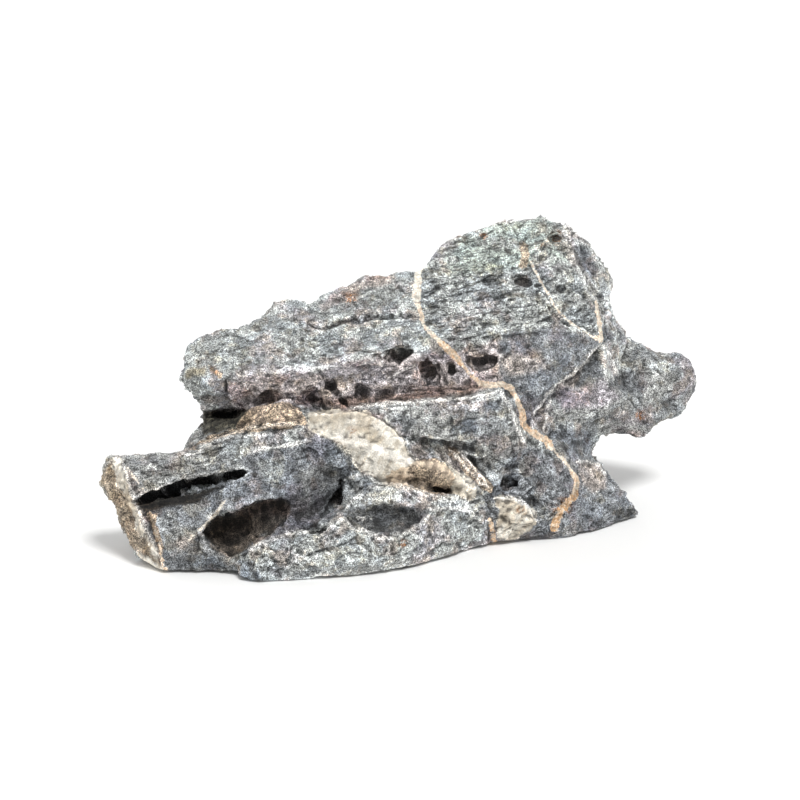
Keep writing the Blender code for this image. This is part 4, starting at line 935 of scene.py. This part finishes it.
def weatheredLimestone():
    # grey limestone, broken and eaten by water: dull and gritty, pale on its edges from wear and painted
    # highlight, and dark in its pits from painted shade
    material = bpy.data.materials.new("weatheredLimestone")
    material.use_nodes = True
    tree = material.node_tree
    shader = tree.nodes["Principled BSDF"]
    place = addNode(tree, "TexCoord", {}).outputs["Object"]
    plus, minus = {"operation": "ADD"}, {"operation": "SUBTRACT"}
    times, larger = {"operation": "MULTIPLY"}, {"operation": "MAXIMUM"}
    rise = {"interpolation_type": "SMOOTHSTEP"}
    colours, numbers = {"data_type": "RGBA"}, {"data_type": "FLOAT"}
    shade = {name: (*linear(value), 1.0) for name, value in limestone["colours"].items()}

    def layer(name):
        # what the attribute holds: the colour as one, its three parts, and the fourth number
        node = addNode(tree, "VertexColor", {"layer_name": name})
        split = addNode(tree, "SeparateColor", {}, node)
        return node, *split.outputs, node.outputs["Alpha"]

    def product(*factors):
        result = factors[0]
        for factor in factors[1:]:
            result = addNode(tree, "Math", times, result, factor)
        return result

    def swung(value, *patterns):
        # a value that patterns swing up and down by their amounts: a factor, or a field's edge made ragged
        for pattern, amount in patterns:
            swing = product(addNode(tree, "Math", minus, pattern, 0.5), amount)
            value = addNode(tree, "Math", plus, value, swing)
        return value

    tint, *_, layered = layer("tint")
    _, vein, calcite, tan, warm = layer("marks")
    _, fine, broad, rust, _ = layer("form")
    _, dark, darkness, pale, paleness = layer("shade")

    pattern = {}
    for name, (size, detail, rough) in limestone["patterns"].items():
        pattern[name] = addNode(tree, "TexNoise", {}, place, 1.0 / (size * millimetre), detail, rough)
    for name, (sizes, turn, detail, rough) in limestone["drawnOut"].items():
        turned = addNode(tree, "Mapping", {"vector_type": "TEXTURE"}, place, None,
                         [math.radians(angle) for angle in turn], sizes)
        pattern[name] = addNode(tree, "TexNoise", {}, turned, 1.0 / millimetre, detail, rough)
    fleck, mottle = pattern["fleck"], pattern["mottle"]

    # the rock leans to other colours in faint blotches
    rock = tint
    for size, detail, rough, low, high, strength, hexColour in limestone["washes"]:
        blotch = addNode(tree, "TexNoise", {}, place, 1.0 / (size * millimetre), detail, rough)
        share = addNode(tree, "MapRange", rise, blotch, low, high, 0.0, strength)
        wash = {"data_type": "RGBA", "blend_type": "MULTIPLY"}
        rock = addNode(tree, "Mix", wash, share, rock, (*linear(hexColour), 1.0))

    # calcite
    share = addNode(tree, "MapRange", rise, pattern["whiteness"], 0.36, 0.60)
    white = addNode(tree, "Mix", colours, share, shade["calciteDull"], shade["calciteWhite"])
    share = addNode(tree, "MapRange", rise, pattern["fibre"], 0.52, 0.40, 0.0, 0.5)
    white = addNode(tree, "Mix", colours, share, white, shade["calciteFibre"])
    edge = swung(calcite, (fleck, 0.5), (mottle, 1.2))
    share = addNode(tree, "MapRange", rise, edge, 0.42, 0.62, 0.0, 0.88)
    rock = addNode(tree, "Mix", colours, share, rock, white)

    # clay, rust, and the pale on ridges: worn stone and painted highlight
    share = addNode(tree, "MapRange", rise, pattern["fibre"], 0.38, 0.60)
    clay = addNode(tree, "Mix", colours, share, shade["clayDark"], shade["clayPale"])
    edge = swung(tan, (fleck, 0.6), (mottle, 1.0))
    share = addNode(tree, "MapRange", rise, edge, 0.46, 0.60, 0.0, 0.8)
    rock = addNode(tree, "Mix", colours, share, rock, clay)
    share = product(rust, addNode(tree, "MapRange", rise, fleck, 0.42, 0.60))
    rock = addNode(tree, "Mix", colours, share, rock, shade["rust"])
    share = product(addNode(tree, "MapRange", rise, swung(pale, (fleck, 0.8)), 0.34, 0.66), paleness)
    rock = addNode(tree, "Mix", colours, share, rock, shade["wornEdgeAndHighlight"])

    # veins
    share = product(warm, addNode(tree, "MapRange", rise, fleck, 0.36, 0.60, 0.45, 1.0))
    cream = addNode(tree, "Mix", colours, share, shade["veinWhite"], shade["veinOchre"])
    share = addNode(tree, "MapRange", rise, fleck, 0.46, 0.66, 0.0, 0.45)
    cream = addNode(tree, "Mix", colours, share, cream, shade["veinStain"])
    share = addNode(tree, "MapRange", rise, swung(vein, (fleck, 0.5)), 0.45, 0.54, 0.0, 0.95)
    rock = addNode(tree, "Mix", colours, share, rock, cream)

    # brightness by grit, patches and the lines of the layers, weaker on calcite and veins
    factors = []
    for name, (swing, least) in limestone["swings"].items():
        factors.append(addNode(tree, "Math", larger, swung(1.0, (pattern[name], swing)), least))
    factors.append(addNode(tree, "MapRange", rise, pattern["patch"], 0.44, 0.56, 0.74, 1.20))
    # the dark lines along the layers are seams in part, and in part painted shade under the small steps
    # between layers
    streaks = product(addNode(tree, "MapRange", rise, pattern["bedLine"], 0.50, 0.64),
                      addNode(tree, "MapRange", rise, layered, 0.0, 1.0, 0.25, 0.90))
    factors.append(addNode(tree, "Math", minus, 1.10, streaks))
    hairs = product(addNode(tree, "MapRange", rise, pattern["hairLine"], 0.53, 0.60),
                    addNode(tree, "MapRange", rise, layered, 0.2, 1.0, 0.0, 0.4))
    between = addNode(tree, "MapRange", rise, layered, 0.2, 1.0, 1.0, 1.06)
    factors.append(addNode(tree, "Math", minus, between, hairs))
    onCalcite = addNode(tree, "MapRange", rise, calcite, 0.45, 0.60, 0.0, 0.8)
    onVein = addNode(tree, "MapRange", rise, vein, 0.46, 0.54, 0.0, 0.7)
    plainness = addNode(tree, "Math", larger, onCalcite, onVein)
    gritty = addNode(tree, "Mix", numbers, plainness, product(*factors), 1.0)

    # painted shade and highlight by shape: painted shade in pits and painted highlight on edges, weaker on
    # veins, and painted shadow in the hollows and cracks
    form = product(addNode(tree, "MapRange", rise, fine, 0.50, 0.14, 1.0, 0.34),
                   addNode(tree, "MapRange", rise, fine, 0.52, 0.90, 1.0, 1.7),
                   addNode(tree, "MapRange", rise, broad, 0.45, 0.05, 1.0, 0.68))
    calm = addNode(tree, "MapRange", rise, vein, 0.46, 0.54, 0.0, 0.5)
    form = addNode(tree, "Mix", numbers, calm, form, 1.0)
    shadow = addNode(tree, "MapRange", rise, swung(dark, (fleck, 0.5)), 0.34, 0.90)
    lit = addNode(tree, "Math", minus, 1.0, product(shadow, darkness, 0.70))
    rock = addNode(tree, "HueSaturation", {}, None, None, product(gritty, form, lit), None, rock)
    tree.links.new(rock.outputs["Color"], shader.inputs["Base Color"])

    lumpy = product(pattern["grit"], -0.8)
    lumpy = addNode(tree, "Math", plus, lumpy, product(fleck, -1.0))
    lumpy = addNode(tree, "Math", plus, lumpy, product(pattern["bedLine"], -0.5))
    strength, depth = limestone["bumpStrength"], limestone["bumpDepth"] * millimetre
    bump = addNode(tree, "Bump", {}, strength, depth, None, lumpy)
    tree.links.new(bump.outputs["Normal"], shader.inputs["Normal"])
    roughness = addNode(tree, "MapRange", rise, mottle, 0.3, 0.7, *limestone["roughness"])
    tree.links.new(roughness.outputs["Result"], shader.inputs["Roughness"])
    shader.inputs["IOR"].default_value = limestone["ior"]
    print("stone: material of", len(tree.nodes), "nodes")
    return material


studio = {
    "floorSize": 60.0, "floorColour": "#f4f4f3", "floorRoughness": 0.9,
    "floorHeight": -0.0003,                      # a little under the stone
    "world": 0.53,
    "lights": {                                  # where each comes from, how many degrees wide, and its power
        "key": ((0.30, -0.50, 1.0), 18.0, 2.3),
        "fill": ((-0.45, 0.80, 0.55), 60.0, 0.9),
    },
}


def makeStudio():
    bpy.ops.object.select_all(action="DESELECT")
    bpy.ops.mesh.primitive_plane_add(size=studio["floorSize"], location=(0, 0, studio["floorHeight"]))
    floor = bpy.context.object
    floor.name = "floor"
    paper = bpy.data.materials.new("mattPaper")
    paper.use_nodes = True
    shader = paper.node_tree.nodes["Principled BSDF"]
    shader.inputs["Base Color"].default_value = (*linear(studio["floorColour"]), 1.0)
    shader.inputs["Roughness"].default_value = studio["floorRoughness"]
    floor.data.materials.append(paper)
    world = bpy.data.worlds.new("studio")
    bpy.context.scene.world = world
    world.use_nodes = True
    background = world.node_tree.nodes["Background"]
    background.inputs["Color"].default_value = (1.0, 1.0, 1.0, 1.0)
    background.inputs["Strength"].default_value = studio["world"]
    for name, (comesFrom, softness, power) in studio["lights"].items():
        lamp = bpy.data.lights.new(name, "SUN")
        lamp.angle = math.radians(softness)
        lamp.energy = power
        sun = bpy.data.objects.new(name, lamp)
        sun.rotation_euler = Vector(comesFrom).to_track_quat("Z", "Y").to_euler()
        bpy.context.scene.collection.objects.link(sun)
    print("studio: floor and light")


def makeCamera():
    camera = bpy.data.cameras.new("camera")
    camera.lens = view["lens"]
    camera.sensor_width = view["sensor"]
    camera.clip_start = view["nearest"]
    camera.clip_end = view["farthest"]
    holder = bpy.data.objects.new("camera", camera)
    holder.location = eye
    holder.rotation_euler = Vector(-toward).to_track_quat("-Z", "Y").to_euler()
    bpy.context.scene.collection.objects.link(holder)
    bpy.context.scene.camera = holder
    print("studio: camera")


makeCamera()
makeStudio()
stone = makeStone()
paint(stone)
stone.data.materials.append(weatheredLimestone())
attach(stone, "root")
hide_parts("stone")
bpy.context.scene.view_settings.view_transform = "Standard"
